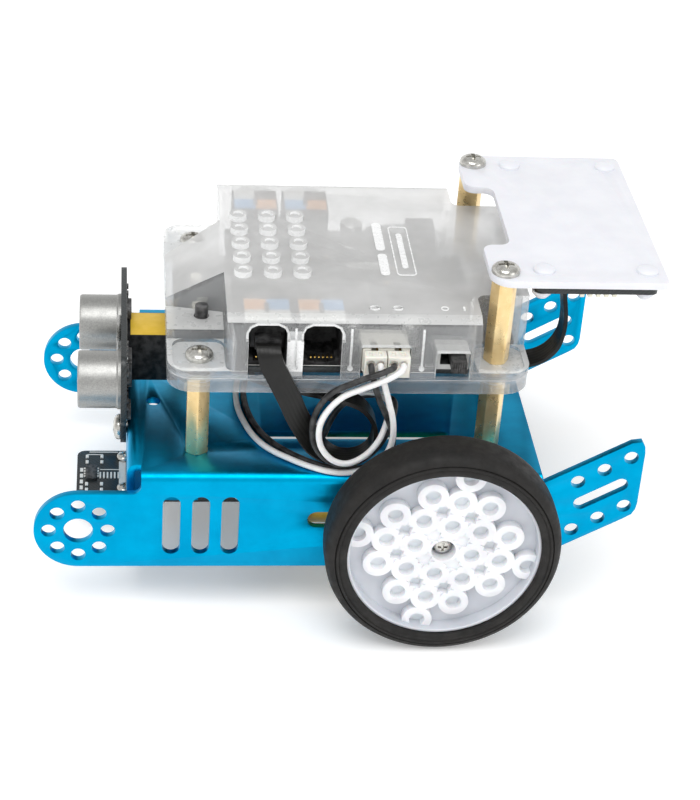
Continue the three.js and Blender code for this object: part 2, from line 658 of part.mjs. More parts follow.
// ---- Line sensor ----
function lineBoard() {
  const bottom = LINE_BOARD_TOP - BOARD_THICKNESS;
  const board = plateXY(roundedRectangle([23, 72.9], [-12, 12], 2.5), [bottom, LINE_BOARD_TOP], 2);
  const jack = box([23.6, 36.6], [-7.2, 7.2], [LINE_BOARD_TOP - 0.5, 30.6]);
  const mouth = box([25, 35.2], [-5.2, 5.2], [21, 31.6]);
  const sensors = [-6, 6].map((y) => box([66.5, 70.5], [y - 2, y + 2], [bottom - 2.4, bottom + 0.5]));
  const holes = [];
  for (const x of [CASTER_X, CASTER_X - 8]) {
    for (const side of [-1, 1]) {
      holes.push(cylinderZ(HOLE_RADIUS, [bottom - 1, LINE_BOARD_TOP + 1], x, side * CASTER_SCREW_Y, 8));
    }
  }
  return cut(join(board, jack, ...sensors), mouth, ...holes);
}

// ---- Display ----
function bracketShape() {
  const earFront = -36.2;
  const edge = -44;
  const half = 37.2;
  const inner = 17;
  const shape = new THREE.Shape();
  shape.moveTo(PLATE_REAR, -half + 2);
  shape.quadraticCurveTo(PLATE_REAR, -half, PLATE_REAR + 2, -half);
  shape.lineTo(earFront - 6, -half);
  shape.quadraticCurveTo(earFront, -half, earFront, -half + 7);
  shape.lineTo(earFront, -inner - 3);
  shape.quadraticCurveTo(earFront, -inner, earFront - 3, -inner);
  shape.lineTo(edge, -inner);
  shape.lineTo(edge, inner);
  shape.lineTo(earFront - 3, inner);
  shape.quadraticCurveTo(earFront, inner, earFront, inner + 3);
  shape.lineTo(earFront, half - 7);
  shape.quadraticCurveTo(earFront, half, earFront - 6, half);
  shape.lineTo(PLATE_REAR + 2, half);
  shape.quadraticCurveTo(PLATE_REAR, half, PLATE_REAR, half - 2);
  return shape;
}

function bracket() {
  const holes = [];
  for (const side of [-1, 1]) {
    holes.push(cylinderZ(HOLE_RADIUS, [PLATE_BOTTOM - 1, PLATE_TOP + 1], POST_X[1], side * POST_Y, 8));
    for (const x of RIVETS_X) {
      holes.push(cylinderZ(HOLE_RADIUS, [PLATE_BOTTOM - 1, PLATE_TOP + 1], x, side * RIVET_Y, 8));
    }
  }
  return cut(plateXY(bracketShape(), [PLATE_BOTTOM, PLATE_TOP], 4), ...holes);
}

function displayBoard() {
  const bottom = DISPLAY_BOARD_TOP - BOARD_THICKNESS;
  const board = plateXY(roundedRectangle([-82, -48.6], [-33.6, 33.6], 2), [bottom, DISPLAY_BOARD_TOP], 2);
  const matrix = box([-72.8, -56.8], [-26, 26], [DISPLAY_BOARD_TOP - 0.5, PLATE_BOTTOM - 0.2]);
  const jack = box([-72, -59], [-12.6, 0.6], [JACK_MOUTH_Z, bottom + 0.5]);
  const mouth = box([-70.6, -60.4], [-11.2, -0.8], [JACK_MOUTH_Z - 1, bottom - 6.6]);
  const holes = [];
  for (const x of RIVETS_X) {
    for (const side of [-1, 1]) {
      holes.push(cylinderZ(HOLE_RADIUS, [bottom - 1, PLATE_BOTTOM], x, side * RIVET_Y, 8));
    }
  }
  return cut(join(board, matrix, jack), mouth, ...holes);
}

function displayPlug() {
  const body = box([-69.9, -61.1], [-9.6, -1.6], [JACK_MOUTH_Z - 2.4, JACK_MOUTH_Z + 9]);
  const latch = box([-67.4, -63.6], [-10.8, -9.5], [JACK_MOUTH_Z - 1, JACK_MOUTH_Z + 7]);
  return join(body, latch);
}

function rivet(x, side) {
  const low = DISPLAY_BOARD_TOP - BOARD_THICKNESS - 1;
  const profile = [
    [0, low - 1.4],
    [2.6, low],
    [2.6, low + 0.8],
    [1.7, low + 0.8],
    [1.7, PLATE_TOP],
    [3, PLATE_TOP],
    [2.6, PLATE_TOP + 0.9],
    [0, PLATE_TOP + 1.3],
  ];
  return turnedZ(profile, 10, x, side * RIVET_Y, 0);
}

// ---- Cables ----
const SENSOR_ROUTE = [
  [22.2, 40.9, 82.6], [22.2, 42.4, 82.5], [21.9, 43.8, 81.2], [21.2, 44.2, 78.8], [19.5, 44.2, 75.2],
  [15.9, 43.6, 67.4], [13.8, 43.0, 62.2], [11.2, 42.2, 57.0], [8.2, 41.2, 51.8], [4.6, 40.2, 48.5],
  [0.2, 39.6, 47.0], [-4.4, 39.4, 47.6], [-7.4, 39.2, 50.6], [-8.0, 39.1, 55.2], [-6.8, 39.0, 59.6],
  [-3.8, 38.8, 63.2], [0.6, 38.4, 65.2], [6.0, 36.8, 65.8], [12.0, 33.2, 65.0], [17.6, 28.0, 63.2],
  [22.6, 21.2, 61.0], [26.6, 13.8, 58.8], [29.8, 7.0, 57.2], [33.0, 2.0, 56.4], [36.4, 0, 56.3],
  [39.6, 0, 56.3],
].map((p) => new THREE.Vector3(...p));
const SENSOR_FACE = [ // direction across the flat cable's width, along the route
  [1, 0, 0], [1, 0, 0], [1, 0, -0.1], [1, 0, -0.3], [0.9, 0, -0.4],
  [0.9, 0, -0.4], [0.9, 0.1, -0.4], [0.85, 0.3, -0.4], [0.7, 0.6, -0.4], [0.4, 0.9, -0.2],
  [0.1, 1, 0], [0, 1, 0], [0, 1, 0], [0, 1, 0], [0, 1, 0],
  [0, 1, 0], [0.1, 1, 0], [0.3, 1, 0], [0.6, 1, 0], [0.8, 0.8, 0],
  [0.9, 0.7, 0], [0.9, 0.6, 0], [0.8, 0.8, 0], [0.4, 1, 0], [0, 1, 0],
  [0, 1, 0],
].map((p) => new THREE.Vector3(...p));
const DISPLAY_ROUTE = [
  [-65.5, -6, 75.8], [-65.6, -6, 73.6], [-66.2, -6, 70.2], [-66.8, -6.0, 65.4], [-66.6, -6, 60.4],
  [-65.2, -6.2, 55.8], [-62.2, -6.8, 52], [-58, -8.4, 49.2], [-52.6, -11.2, 47.6], [-46, -15, 47.0],
  [-38.6, -19.6, 47.0], [-30.4, -25.6, 47.6], [-21.6, -32.2, 48.8], [-12.8, -38, 51.2], [-4.2, -42.6, 55.0],
  [3.6, -45.2, 60.2], [10.2, -46.4, 66.4], [15.8, -47.0, 72.2], [20, -46.4, 77.6], [22, -44.4, 81.4],
  [22.2, -42.4, 82.6], [22.2, -40.9, 82.6],
].map((p) => new THREE.Vector3(...p));
const DISPLAY_FACE = [
  [0, -1, 0], [0, -1, 0], [0, -1, 0], [0, -1, 0], [0, -1, 0],
  [0.1, -1, 0], [0.2, -1, 0], [0.3, -0.9, 0], [0.4, -0.9, 0], [0.5, -0.85, 0],
  [0.55, -0.85, 0], [0.6, -0.8, 0], [0.7, -0.7, 0], [0.8, -0.6, -0.1], [0.9, -0.5, -0.2],
  [1, -0.3, -0.4], [1, -0.1, -0.6], [1, 0, -0.6], [1, 0, -0.3], [1, 0, -0.1],
  [1, 0, 0], [1, 0, 0],
].map((p) => new THREE.Vector3(...p));
const LEFT_WHITE_ROUTE = [
  [-13.4, 44.6, 79.0], [-13.3, 45.6, 79.0], [-12.2, 47.4, 78.6], [-9.6, 48.6, 77.6], [-6.2, 48.8, 76.0],
  [-2.5, 48.3, 74.0], [2.2, 47.4, 71.0], [5.9, 46.8, 66.3], [7.9, 46.5, 60.7], [7.2, 46.4, 54.6],
  [3.9, 46.4, 50.2], [-0.2, 46.3, 49.0], [-4.9, 45.8, 51.2], [-8.3, 44.8, 55.1], [-10.2, 42.8, 58.7],
  [-11.2, 40.0, 61.2], [-11.4, 36.6, 62.4], [-9.8, 33.2, 62.6], [-6.6, 30.2, 61.6], [-2.6, 27.8, 59.2],
  [1.2, 26.0, 55.6], [4.2, 25.0, 51.0], [6.0, 24.9, 46.4], [7.6, 24.8, 42.6], [10.6, 24.2, 40.2],
  [15.0, 23.8, 38.8], [20.6, 23.8, 38.0], [26.6, 24.4, 37.0], [30.6, 27.0, 36.0], [31.2, 29.8, 35.0],
  [28.6, 31.0, 34.6],
].map((p) => new THREE.Vector3(...p));
const LEFT_BLACK_ROUTE = [
  [-10.9, 44.6, 79.0], [-10.8, 45.6, 79.1], [-9.9, 47.4, 79.6], [-7.4, 48.7, 79.2], [-3.8, 48.8, 77.8],
  [0.2, 48.0, 75.4], [4.6, 46.4, 72.0], [7.9, 45.2, 67.0], [9.6, 44.8, 60.8], [8.8, 44.6, 54.0],
  [4.9, 44.6, 48.9], [-0.3, 44.6, 47.5], [-5.9, 44.0, 49.8], [-10.0, 42.5, 54.2], [-12.0, 40.6, 58.2],
  [-13.1, 38.0, 61.0], [-13.2, 34.6, 61.6], [-11.2, 31.4, 61.0], [-7.6, 28.4, 59.6], [-3.4, 26.2, 57.0],
  [0.2, 24.9, 53.2], [2.6, 24.9, 48.6], [4.0, 24.8, 44.2], [6.2, 23.3, 40.0], [11.0, 22.6, 37.2],
  [16.0, 22.4, 35.4], [21.4, 22.6, 33.4], [26.6, 23.8, 31.2], [30.8, 26.4, 29.8], [31.4, 29.2, 29.2],
  [28.6, 30.4, 29.0],
].map((p) => new THREE.Vector3(...p));
const RIGHT_WHITE_ROUTE = [
  [-7.3, 44.6, 79.0], [-7.3, 45.4, 78.9], [-7.6, 46.2, 77.6], [-8.2, 46.3, 75.2], [-9.2, 46.3, 71.8],
  [-10.3, 46.3, 68.0], [-11.3, 46.4, 64.4], [-11.9, 46.4, 60.6], [-11.9, 46.2, 56.4], [-10.8, 45.9, 52.2],
  [-8.2, 45.6, 48.6], [-4.6, 45.2, 46.2], [0, 44.8, 45.0], [4.2, 44.2, 45.0], [8.0, 42.6, 45.0],
  [11.6, 40.4, 45.0], [15.0, 37.8, 45.0], [18.4, 34.8, 44.9], [21.6, 31.0, 44.9], [24.2, 26.0, 44.9],
  [26.2, 19.6, 44.9], [27.6, 12.4, 44.9], [27.8, 4.6, 44.9], [26.8, -3.2, 44.9], [24.6, -10.6, 44.9],
  [21.4, -17.2, 45.2], [17.8, -22.2, 45.6], [15.0, -24.6, 44.6], [14.0, -24.6, 41.4], [16.0, -23.9, 39.0],
  [20.6, -23.8, 38.0], [26.6, -24.4, 37.0], [30.6, -27.0, 36.0], [31.2, -29.8, 35.0], [28.6, -31.0, 34.6],
].map((p) => new THREE.Vector3(...p));
const RIGHT_BLACK_ROUTE = [
  [-4.8, 44.6, 79.0], [-4.8, 45.4, 78.9], [-5.0, 46.2, 77.6], [-5.8, 46.2, 74.8], [-6.8, 46.0, 71.4],
  [-8.0, 45.7, 68.0], [-9.6, 45.2, 64.4], [-11.2, 44.6, 60.4], [-12.4, 44.2, 56.2], [-12.2, 43.5, 51.6],
  [-9.6, 43.0, 47.6], [-5.4, 42.9, 45.4], [0, 42.9, 45.0], [4.2, 42.2, 45.0], [7.6, 40.6, 45.0],
  [10.8, 38.4, 45.0], [14.2, 35.4, 44.9], [17.6, 31.8, 44.9], [20.4, 27.6, 44.9], [22.6, 22.8, 44.9],
  [24.4, 16.8, 44.9], [25.4, 10.4, 44.9], [25.6, 4.0, 44.9], [24.6, -3.2, 44.9], [22.4, -10.0, 44.9],
  [19.0, -16.2, 45.2], [15.0, -21.4, 45.6], [11.6, -24.6, 45.0], [10.2, -24.9, 42.0], [11.6, -23.0, 38.2],
  [16.0, -22.4, 35.4], [21.4, -22.6, 33.4], [26.6, -23.8, 31.2], [30.8, -26.4, 29.8], [31.4, -29.2, 29.2],
  [28.6, -30.4, 29.0],
].map((p) => new THREE.Vector3(...p));

// A route whose cross-section is turned by hand, so that a flat cable lies as it should.
class GuidedRoute extends THREE.CatmullRomCurve3 {
  constructor(points, faces) {
    super(points, false, 'centripetal');
    this.faceCurve = new THREE.CatmullRomCurve3(faces, false, 'centripetal');
  }

  computeFrenetFrames(segments) {
    const tangents = [];
    const normals = [];
    const binormals = [];
    for (let i = 0; i <= segments; i += 1) {
      const t = this.getUtoTmapping(i / segments);
      const tangent = this.getTangent(t).normalize();
      const face = this.faceCurve.getPoint(t);
      const normal = face.clone().addScaledVector(tangent, -face.dot(tangent)).normalize();
      tangents.push(tangent);
      normals.push(normal);
      binormals.push(tangent.clone().cross(normal).normalize());
    }
    return { tangents, normals, binormals };
  }
}

function flatCable(points, faces, steps) {
  const half = { x: CABLE_WIDTH / 2, y: CABLE_THICKNESS / 2 };
  const chamfer = 0.7;
  const shape = new THREE.Shape();
  shape.moveTo(-half.x + chamfer, -half.y);
  shape.lineTo(half.x - chamfer, -half.y);
  shape.lineTo(half.x, -half.y + chamfer);
  shape.lineTo(half.x, half.y - chamfer);
  shape.lineTo(half.x - chamfer, half.y);
  shape.lineTo(-half.x + chamfer, half.y);
  shape.lineTo(-half.x, half.y - chamfer);
  shape.lineTo(-half.x, -half.y + chamfer);
  const route = new GuidedRoute(points, faces);
  return toSolid(new THREE.ExtrudeGeometry(shape, { steps, bevelEnabled: false, extrudePath: route }));
}

function lead(points, steps) {
  const shape = new THREE.Shape();
  const sides = 8;
  for (let i = 0; i < sides; i += 1) {
    const turn = (i * 2 * Math.PI) / sides;
    const [x, y] = [LEAD_RADIUS * Math.cos(turn), LEAD_RADIUS * Math.sin(turn)];
    if (i === 0) shape.moveTo(x, y);
    else shape.lineTo(x, y);
  }
  const route = new THREE.CatmullRomCurve3(points, false, 'centripetal');
  return toSolid(new THREE.ExtrudeGeometry(shape, { steps, bevelEnabled: false, extrudePath: route }));
}

// ---- Assembly ----
const car = new THREE.Group();

function place(name, solid, look) {
  const mesh = new THREE.Mesh(toGeometry(solid), look);
  mesh.name = name;
  car.add(mesh);
}

function placePair(name, solid, look) {
  place(`left_${name}`, solid, look);
  place(`right_${name}`, mirrored(solid), look);
}

place('chassis', chassis(), BLUE);
placePair('gear_motor', gearMotor(), YELLOW);
placePair('output_shaft', outputShaft(), WHITE);
placePair('hub', hub(), HUB);
placePair('tyre', tyre(), RUBBER);
placePair('hub_screw', hubScrew(), STEEL);
place('caster_housing', casterHousing(), WHITE);
place('caster_ball', casterBall(), STEEL);
placePair('caster_screw', panHead(LINE_BOARD_TOP, CASTER_X, CASTER_SCREW_Y, 3.4, 2.3, 1.6), STEEL);
placePair('front_standoff', standoff(POST_X[0], POST_Y, DECK_TOP, 5, true), BRASS);
placePair('rear_standoff', standoff(POST_X[1], POST_Y, DECK_TOP, 5), BRASS);
place('case_tray', tray(), CLEAR);
place('case_cover', cover(), CLEAR);
place('main_board', mainBoard(), BOARD);
place('left_front_jack', sideJack(JACK_X[0], 1), BLACK);
place('left_rear_jack', sideJack(JACK_X[1], 1), BLACK);
place('right_front_jack', sideJack(JACK_X[0], -1), BLACK);
place('right_rear_jack', sideJack(JACK_X[1], -1), BLACK);
place('front_motor_plug', motorPlug(MOTOR_SOCKET_X + 3.1), WHITE);
place('rear_motor_plug', motorPlug(MOTOR_SOCKET_X - 3.1), WHITE);
place('switch_knob', switchKnob(), BLACK);
place('button_cap', buttonCap(), BLACK);
place('battery_pack', batteryPack(), PACK);
placePair('case_screw', panHead(CORNER_FLOOR, POST_X[0], POST_Y, 9), STEEL);
placePair('upper_standoff', standoff(POST_X[1], POST_Y, CORNER_FLOOR, 9), BRASS);
placePair('bracket_screw', panHead(PLATE_TOP, POST_X[1], POST_Y, 7), STEEL);
place('sensor_board', sensorBoard(), BOARD);
place('left_sound_can', soundCan(1), STEEL);
place('right_sound_can', soundCan(-1), STEEL);
place('sensor_jack', sensorJack(), BLACK);
placePair('sensor_screw', sensorScrew(1), STEEL);
place('line_board', lineBoard(), BOARD);
place('display_bracket', bracket(), WHITE);
place('display_board', displayBoard(), BOARD);
placePair('front_rivet', rivet(RIVETS_X[0], 1), WHITE);
placePair('rear_rivet', rivet(RIVETS_X[1], 1), WHITE);
place('sensor_cable', flatCable(SENSOR_ROUTE, SENSOR_FACE, 30), BLACK);
place('sensor_cable_case_plug', sidePlug(JACK_X[0], 1), BLACK);
place('sensor_cable_sensor_plug', sensorPlug(), BLACK);
place('display_cable', flatCable(DISPLAY_ROUTE, DISPLAY_FACE, 32), BLACK);
place('display_cable_case_plug', sidePlug(JACK_X[0], -1), BLACK);
place('display_cable_display_plug', displayPlug(), BLACK);
place('left_motor_white_lead', lead(LEFT_WHITE_ROUTE, 32), WHITE);
place('left_motor_black_lead', lead(LEFT_BLACK_ROUTE, 32), BLACK);
place('right_motor_white_lead', lead(RIGHT_WHITE_ROUTE, 34), WHITE);
place('right_motor_black_lead', lead(RIGHT_BLACK_ROUTE, 34), BLACK);

export default car;
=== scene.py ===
"""Two wheel robot car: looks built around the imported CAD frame. Lengths are millimetres, scaled by MM."""

import math
import random

import bmesh
import bpy
from mathutils import Matrix, Vector


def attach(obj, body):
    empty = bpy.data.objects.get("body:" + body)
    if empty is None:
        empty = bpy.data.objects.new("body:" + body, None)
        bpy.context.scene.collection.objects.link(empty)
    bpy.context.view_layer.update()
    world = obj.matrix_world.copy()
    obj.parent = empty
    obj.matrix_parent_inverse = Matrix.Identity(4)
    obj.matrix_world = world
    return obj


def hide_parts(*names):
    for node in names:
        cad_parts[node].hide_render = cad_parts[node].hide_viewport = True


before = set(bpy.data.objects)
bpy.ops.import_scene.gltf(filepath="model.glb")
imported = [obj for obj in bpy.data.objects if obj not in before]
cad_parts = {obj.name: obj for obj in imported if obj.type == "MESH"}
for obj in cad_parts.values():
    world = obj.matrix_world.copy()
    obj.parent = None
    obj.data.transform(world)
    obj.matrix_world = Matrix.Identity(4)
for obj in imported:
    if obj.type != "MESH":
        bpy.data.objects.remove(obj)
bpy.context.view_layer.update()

MM = 0.001
CAR = "car"

# ---- Driving dimensions, as in the CAD ----
HALF_WIDTH = 45.4
SHEET = 2.0
WALL_BOTTOM = 14.0
DECK_TOP = 44.0
DECK_FRONT = 58.6
DECK_REAR = -54.6
WALL_STEP_X = 54.8
NOSE_X, NOSE_Z, NOSE_RADIUS = 71.7, 26.0, 12.0
TAIL_X = -82.0
TAIL_ANGLE = math.radians(30)
PITCH = 8.0
HOLE = 2.0
SLOT_Y = 24.9
AXLE_X, AXLE_Z = -25.9, 32.0
POST_X = (39.7, -40.3)
POST_Y = 32.0
CASE_FRONT, CASE_REAR, CASE_HALF = 48.3, -48.9, 40.9
TRAY_BOTTOM, TRAY_TOP = 68.0, 72.2
CORNER_FLOOR, CASE_TOP = 73.6, 90.0
CASE_WALL = 1.5
BOARD_BOTTOM, BOARD_TOP = 73.0, 74.6
JACK_X = (22.2, 7.7)
MOTOR_X, SWITCH_X = -9.2, -27.4
BUTTON = (38.8, 17.0, 77.5)
JACK_FRONT = 37.6
SENSOR_X = 58.8
CAN_Y, CAN_Z = 15.5, 55.9
LINE_TOP = 13.6
CASTER_X = 59.1
PLATE_BOTTOM, PLATE_TOP, PLATE_REAR = 98.6, 100.6, -83.7
DISPLAY_TOP = 96.6
RIVETS_X, RIVET_Y = (-50.8, -78.8), 30.8
LATTICE_TURN = math.radians(13)
INK = 0.04

# ---- Camera: the photograph's viewing angle ----
YAW, PITCH_DOWN, ROLL = math.radians(7.42), math.radians(32.35), math.radians(4.37)
look = Vector((-math.sin(YAW) * math.cos(PITCH_DOWN), -math.cos(YAW) * math.cos(PITCH_DOWN),
               -math.sin(PITCH_DOWN)))
level = Vector((-math.cos(YAW), math.sin(YAW), 0))
upright = level.cross(look)
right = math.cos(ROLL) * level + math.sin(ROLL) * upright
up = -math.sin(ROLL) * level + math.cos(ROLL) * upright
camera = bpy.data.objects.new("camera", bpy.data.cameras.new("camera"))
camera.data.sensor_fit = "VERTICAL"
camera.data.sensor_height = 36
camera.data.lens = 96.06
camera.data.clip_start = 0.01
camera.matrix_world = Matrix((right, up, -look)).transposed().to_4x4()
camera.location = Vector((61.77, 518.33, 370.79)) * MM
bpy.context.collection.objects.link(camera)
bpy.context.scene.camera = camera


# ---- Materials ----
def srgb(r, g, b):
    """A display colour, 0 to 255, as linear light."""
    shares = (r / 255, g / 255, b / 255)
    return tuple(c / 12.92 if c <= 0.04045 else ((c + 0.055) / 1.055) ** 2.4 for c in shares)


def mixed(a, b, share):
    return tuple(x + (y - x) * share for x, y in zip(a, b))


def set_stops(ramp, stops):
    while len(ramp.elements) < len(stops):
        ramp.elements.new(0.5)
    for element, (at, colour) in zip(ramp.elements, stops):
        element.position = at
        element.color = (*colour, 1)


class Look:
    """A procedural material: colour, roughness and bump each come from textures in the row frame."""

    def __init__(self, name, stretch=(1, 1, 1)):
        self.material = bpy.data.materials.new(name)
        self.material.use_nodes = True
        self.tree = self.material.node_tree
        self.tree.nodes.clear()
        self.shader = self.node("ShaderNodeBsdfPrincipled")
        self.out = self.node("ShaderNodeOutputMaterial")
        self.link(self.shader.outputs[0], self.out.inputs[0])
        place = self.node("ShaderNodeMapping")
        place.inputs["Scale"].default_value = stretch
        self.link(self.node("ShaderNodeTexCoord").outputs["Object"], place.inputs["Vector"])
        self.place = place.outputs[0]

    def node(self, kind, **values):
        made = self.tree.nodes.new(kind)
        for key, value in values.items():
            setattr(made, key, value)
        return made

    def link(self, a, b):
        self.tree.links.new(a, b)

    def texture(self, kind, **inputs):
        tex = self.node("ShaderNodeTex" + kind)
        self.link(self.place, tex.inputs["Vector"])
        for key, value in inputs.items():
            tex.inputs[key].default_value = value
        return tex

    def noise(self, scale, detail=3, rough=0.55):
        return self.texture("Noise", Scale=scale, Detail=detail, Roughness=rough).outputs[0]

    def traces(self, scale, distortion):
        """Slanting bands, bent like the copper under a board's lacquer."""
        tex = self.texture("Wave", Scale=scale, Distortion=distortion)
        tex.bands_direction = "DIAGONAL"
        return tex.outputs[0]

    def cells(self, scale):
        return self.texture("Voronoi", Scale=scale).outputs["Distance"]

    def ramp(self, source, stops):
        ramp = self.node("ShaderNodeValToRGB")
        set_stops(ramp.color_ramp, stops)
        self.link(source, ramp.inputs[0])
        return ramp.outputs[0]

    def range(self, source, low, high):
        node = self.node("ShaderNodeMapRange")
        self.link(source, node.inputs["Value"])
        for key, value in (("From Min", 0.3), ("From Max", 0.7), ("To Min", low), ("To Max", high)):
            node.inputs[key].default_value = value
        return node.outputs[0]

    def colour(self, dark, light, scale, detail=3, low=0.35, high=0.65):
        self.link(self.ramp(self.noise(scale, detail), [(low, dark), (high, light)]),
                  self.shader.inputs["Base Color"])
        return self

    def rough(self, low, high, scale, detail=3):
        self.link(self.range(self.noise(scale, detail), low, high), self.shader.inputs["Roughness"])
        return self

    def bump(self, source, depth, strength=1.0):
        bump = self.node("ShaderNodeBump")
        bump.inputs["Distance"].default_value = depth * MM
        bump.inputs["Strength"].default_value = strength
        self.link(source, bump.inputs["Height"])
        if self.shader.inputs["Normal"].is_linked:
            self.link(self.shader.inputs["Normal"].links[0].from_socket, bump.inputs["Normal"])
        self.link(bump.outputs[0], self.shader.inputs["Normal"])
        return self

    def set(self, **sockets):
        for key, value in sockets.items():
            self.shader.inputs[key.replace("_", " ")].default_value = value
        return self


def plain(name, colour, spread=0.12, low=0.35, high=0.5, scale=300, grain=0.01, grain_scale=2500,
          metallic=0.0):
    """A moulded or painted surface: slight mottling, uneven gloss and a fine grain."""
    made = Look(name)
    made.colour(mixed(colour, (0, 0, 0), spread), mixed(colour, (1, 1, 1), spread * 0.35), scale)
    made.rough(low, high, scale * 1.7)
    made.bump(made.noise(grain_scale, 2), grain)
    return made.set(Metallic=metallic)


BLUE = srgb(0, 153, 201)
blue = Look("blue_anodised_sheet", stretch=(1, 1.6, 1))
blue.colour(mixed(BLUE, (0, 0, 0), 0.06), mixed(BLUE, srgb(0, 190, 235), 0.2), 90, 4)
blue.rough(0.32, 0.4, 500, 3)
blue.bump(blue.noise(5200, 3), 0.008, 0.6)
blue.set(Metallic=1.0)

brass = Look("turned_brass")
brass.colour(srgb(226, 196, 140), srgb(243, 218, 166), 160, 3)
brass.rough(0.26, 0.34, 700)
brass.set(Metallic=0.82)

steel = Look("plated_steel")
steel.colour(srgb(168, 166, 160), srgb(214, 213, 208), 500)
steel.rough(0.16, 0.3, 1500)
steel.bump(steel.noise(3000, 2), 0.004)
steel.set(Metallic=1.0)

can_metal = Look("satin_aluminium")
can_metal.colour(srgb(152, 152, 150), srgb(172, 172, 169), 2600, 3)
can_metal.rough(0.36, 0.44, 900)
can_metal.bump(can_metal.noise(3600, 3), 0.004)
can_metal.set(Metallic=0.95)

mesh_metal = plain("sensor_mesh", srgb(96, 96, 94), 0.3, 0.4, 0.6, 900, metallic=0.9)
tin = plain("tinned_socket_shell", srgb(190, 190, 188), 0.12, 0.2, 0.34, 400, 0.004, metallic=1.0)
gold = plain("gold_contacts", srgb(226, 184, 96), 0.1, 0.15, 0.25, 600, 0.002, metallic=1.0)
rubber = Look("tyre_rubber")
rubber.colour(srgb(13, 12, 11), srgb(30, 28, 26), 130, 7, 0.3, 0.75)
rubber.rough(0.55, 0.78, 420, 5)
rubber.bump(rubber.noise(1500, 6, 0.7), 0.05)
rubber.bump(rubber.cells(420), 0.02, 0.5)
rubber.set(Specular_IOR_Level=0.36)

black = plain("black_moulding", srgb(23, 22, 22), 0.3, 0.34, 0.5, 500, 0.015)
contact_black = plain("socket_inside", srgb(9, 9, 10), 0.1, 0.5, 0.58, 500, 0.002).set(Specular_IOR_Level=0.2)
flat_black = Look("flat_cable_jacket")
flat_black.colour(srgb(12, 12, 11), srgb(20, 20, 18), 160, 4)
flat_black.rough(0.3, 0.42, 600)
flat_black.bump(flat_black.noise(1800, 3), 0.012)
flat_black.set(Specular_IOR_Level=0.32)

wire_white = plain("white_lead_jacket", srgb(236, 236, 236), 0.07, 0.26, 0.36, 400, 0.006).set(
    Subsurface_Weight=0.1, Subsurface_Scale=0.001)
wire_black = plain("black_lead_jacket", srgb(17, 17, 18), 0.15, 0.34, 0.44, 400,
                   0.004).set(Specular_IOR_Level=0.35)
white_plug = plain("white_nylon", srgb(232, 229, 220), 0.07, 0.34, 0.46, 500, 0.01).set(
    Subsurface_Weight=0.15, Subsurface_Scale=0.002)
socket_white = plain("white_socket", srgb(222, 219, 209), 0.07, 0.34, 0.46, 500, 0.01)
plate_white = Look("white_sheet")
plate_white.colour(srgb(219, 220, 226), srgb(224, 225, 230), 120, 3)
plate_white.rough(0.28, 0.4, 500)
plate_white.bump(plate_white.noise(2600, 3), 0.005)
plate_white.set(Subsurface_Weight=0.05, Subsurface_Scale=0.002)
motor_yellow = plain("yellow_moulding", srgb(222, 170, 22), 0.12, 0.3, 0.44, 350, 0.02)
label_yellow = plain("yellow_label", srgb(231, 190, 40), 0.08, 0.35, 0.5, 300, 0.004)
caster_white = plain("caster_moulding", srgb(228, 228, 224), 0.08, 0.3, 0.42, 400, 0.015)
pack_blue = plain("pack_film", srgb(42, 88, 146), 0.2, 0.2, 0.36, 260, 0.05, 500)

hub_white = Look("hub_moulding")
hub_white.colour(srgb(222, 223, 227), srgb(236, 237, 240), 90, 3)
hub_white.rough(0.3, 0.44, 400)
hub_white.bump(hub_white.noise(1600, 3), 0.012)
hub_white.set(Subsurface_Weight=0.12, Subsurface_Scale=0.002, Specular_IOR_Level=0.4)
hub_disc = Look("hub_disc_moulding")
hub_disc.colour(srgb(194, 197, 204), srgb(210, 213, 219), 70, 3)
hub_disc.rough(0.34, 0.5, 350)
hub_disc.bump(hub_disc.noise(1300, 3), 0.012)
hub_disc.set(Subsurface_Weight=0.1, Subsurface_Scale=0.002)

solder_mask = Look("solder_mask")
copper = solder_mask.traces(520, 6)
stops = [(0.0, srgb(20, 24, 25)), (0.46, srgb(26, 31, 32)), (0.5, srgb(44, 52, 54)), (1.0, srgb(30, 36, 37))]
solder_mask.link(solder_mask.ramp(copper, stops), solder_mask.shader.inputs["Base Color"])
solder_mask.rough(0.28, 0.42, 900)
solder_mask.bump(copper, 0.02)
chip = plain("chip_package", srgb(30, 30, 31), 0.25, 0.45, 0.6, 900, 0.012)
ceramic = plain("ceramic_part", srgb(166, 136, 98), 0.15, 0.4, 0.5, 900, 0.006)
resistor = plain("resistor_body", srgb(40, 40, 42), 0.3, 0.35, 0.5, 900, 0.006)
ink_white = plain("white_print", srgb(232, 232, 228), 0.06, 0.45, 0.6, 900, 0.003)
ink_orange = plain("orange_print", srgb(242, 166, 66), 0.08, 0.4, 0.55, 500, 0.003)
ink_blue = plain("blue_print", srgb(86, 168, 226), 0.08, 0.4, 0.55, 500, 0.003)
ink_grey = plain("grey_print", srgb(90, 92, 96), 0.1, 0.45, 0.6, 600, 0.003)
ink_brown = plain("brown_print", srgb(70, 52, 40), 0.1, 0.45, 0.6, 600, 0.003)
knob_grey = plain("knob_moulding", srgb(30, 29, 28), 0.2, 0.45, 0.55, 600, 0.006)
switch_grey = plain("switch_body", srgb(192, 192, 190), 0.08, 0.34, 0.46, 500, 0.006)
led_clear = plain("light_body", srgb(236, 232, 214), 0.06, 0.18, 0.3, 500, 0.002)


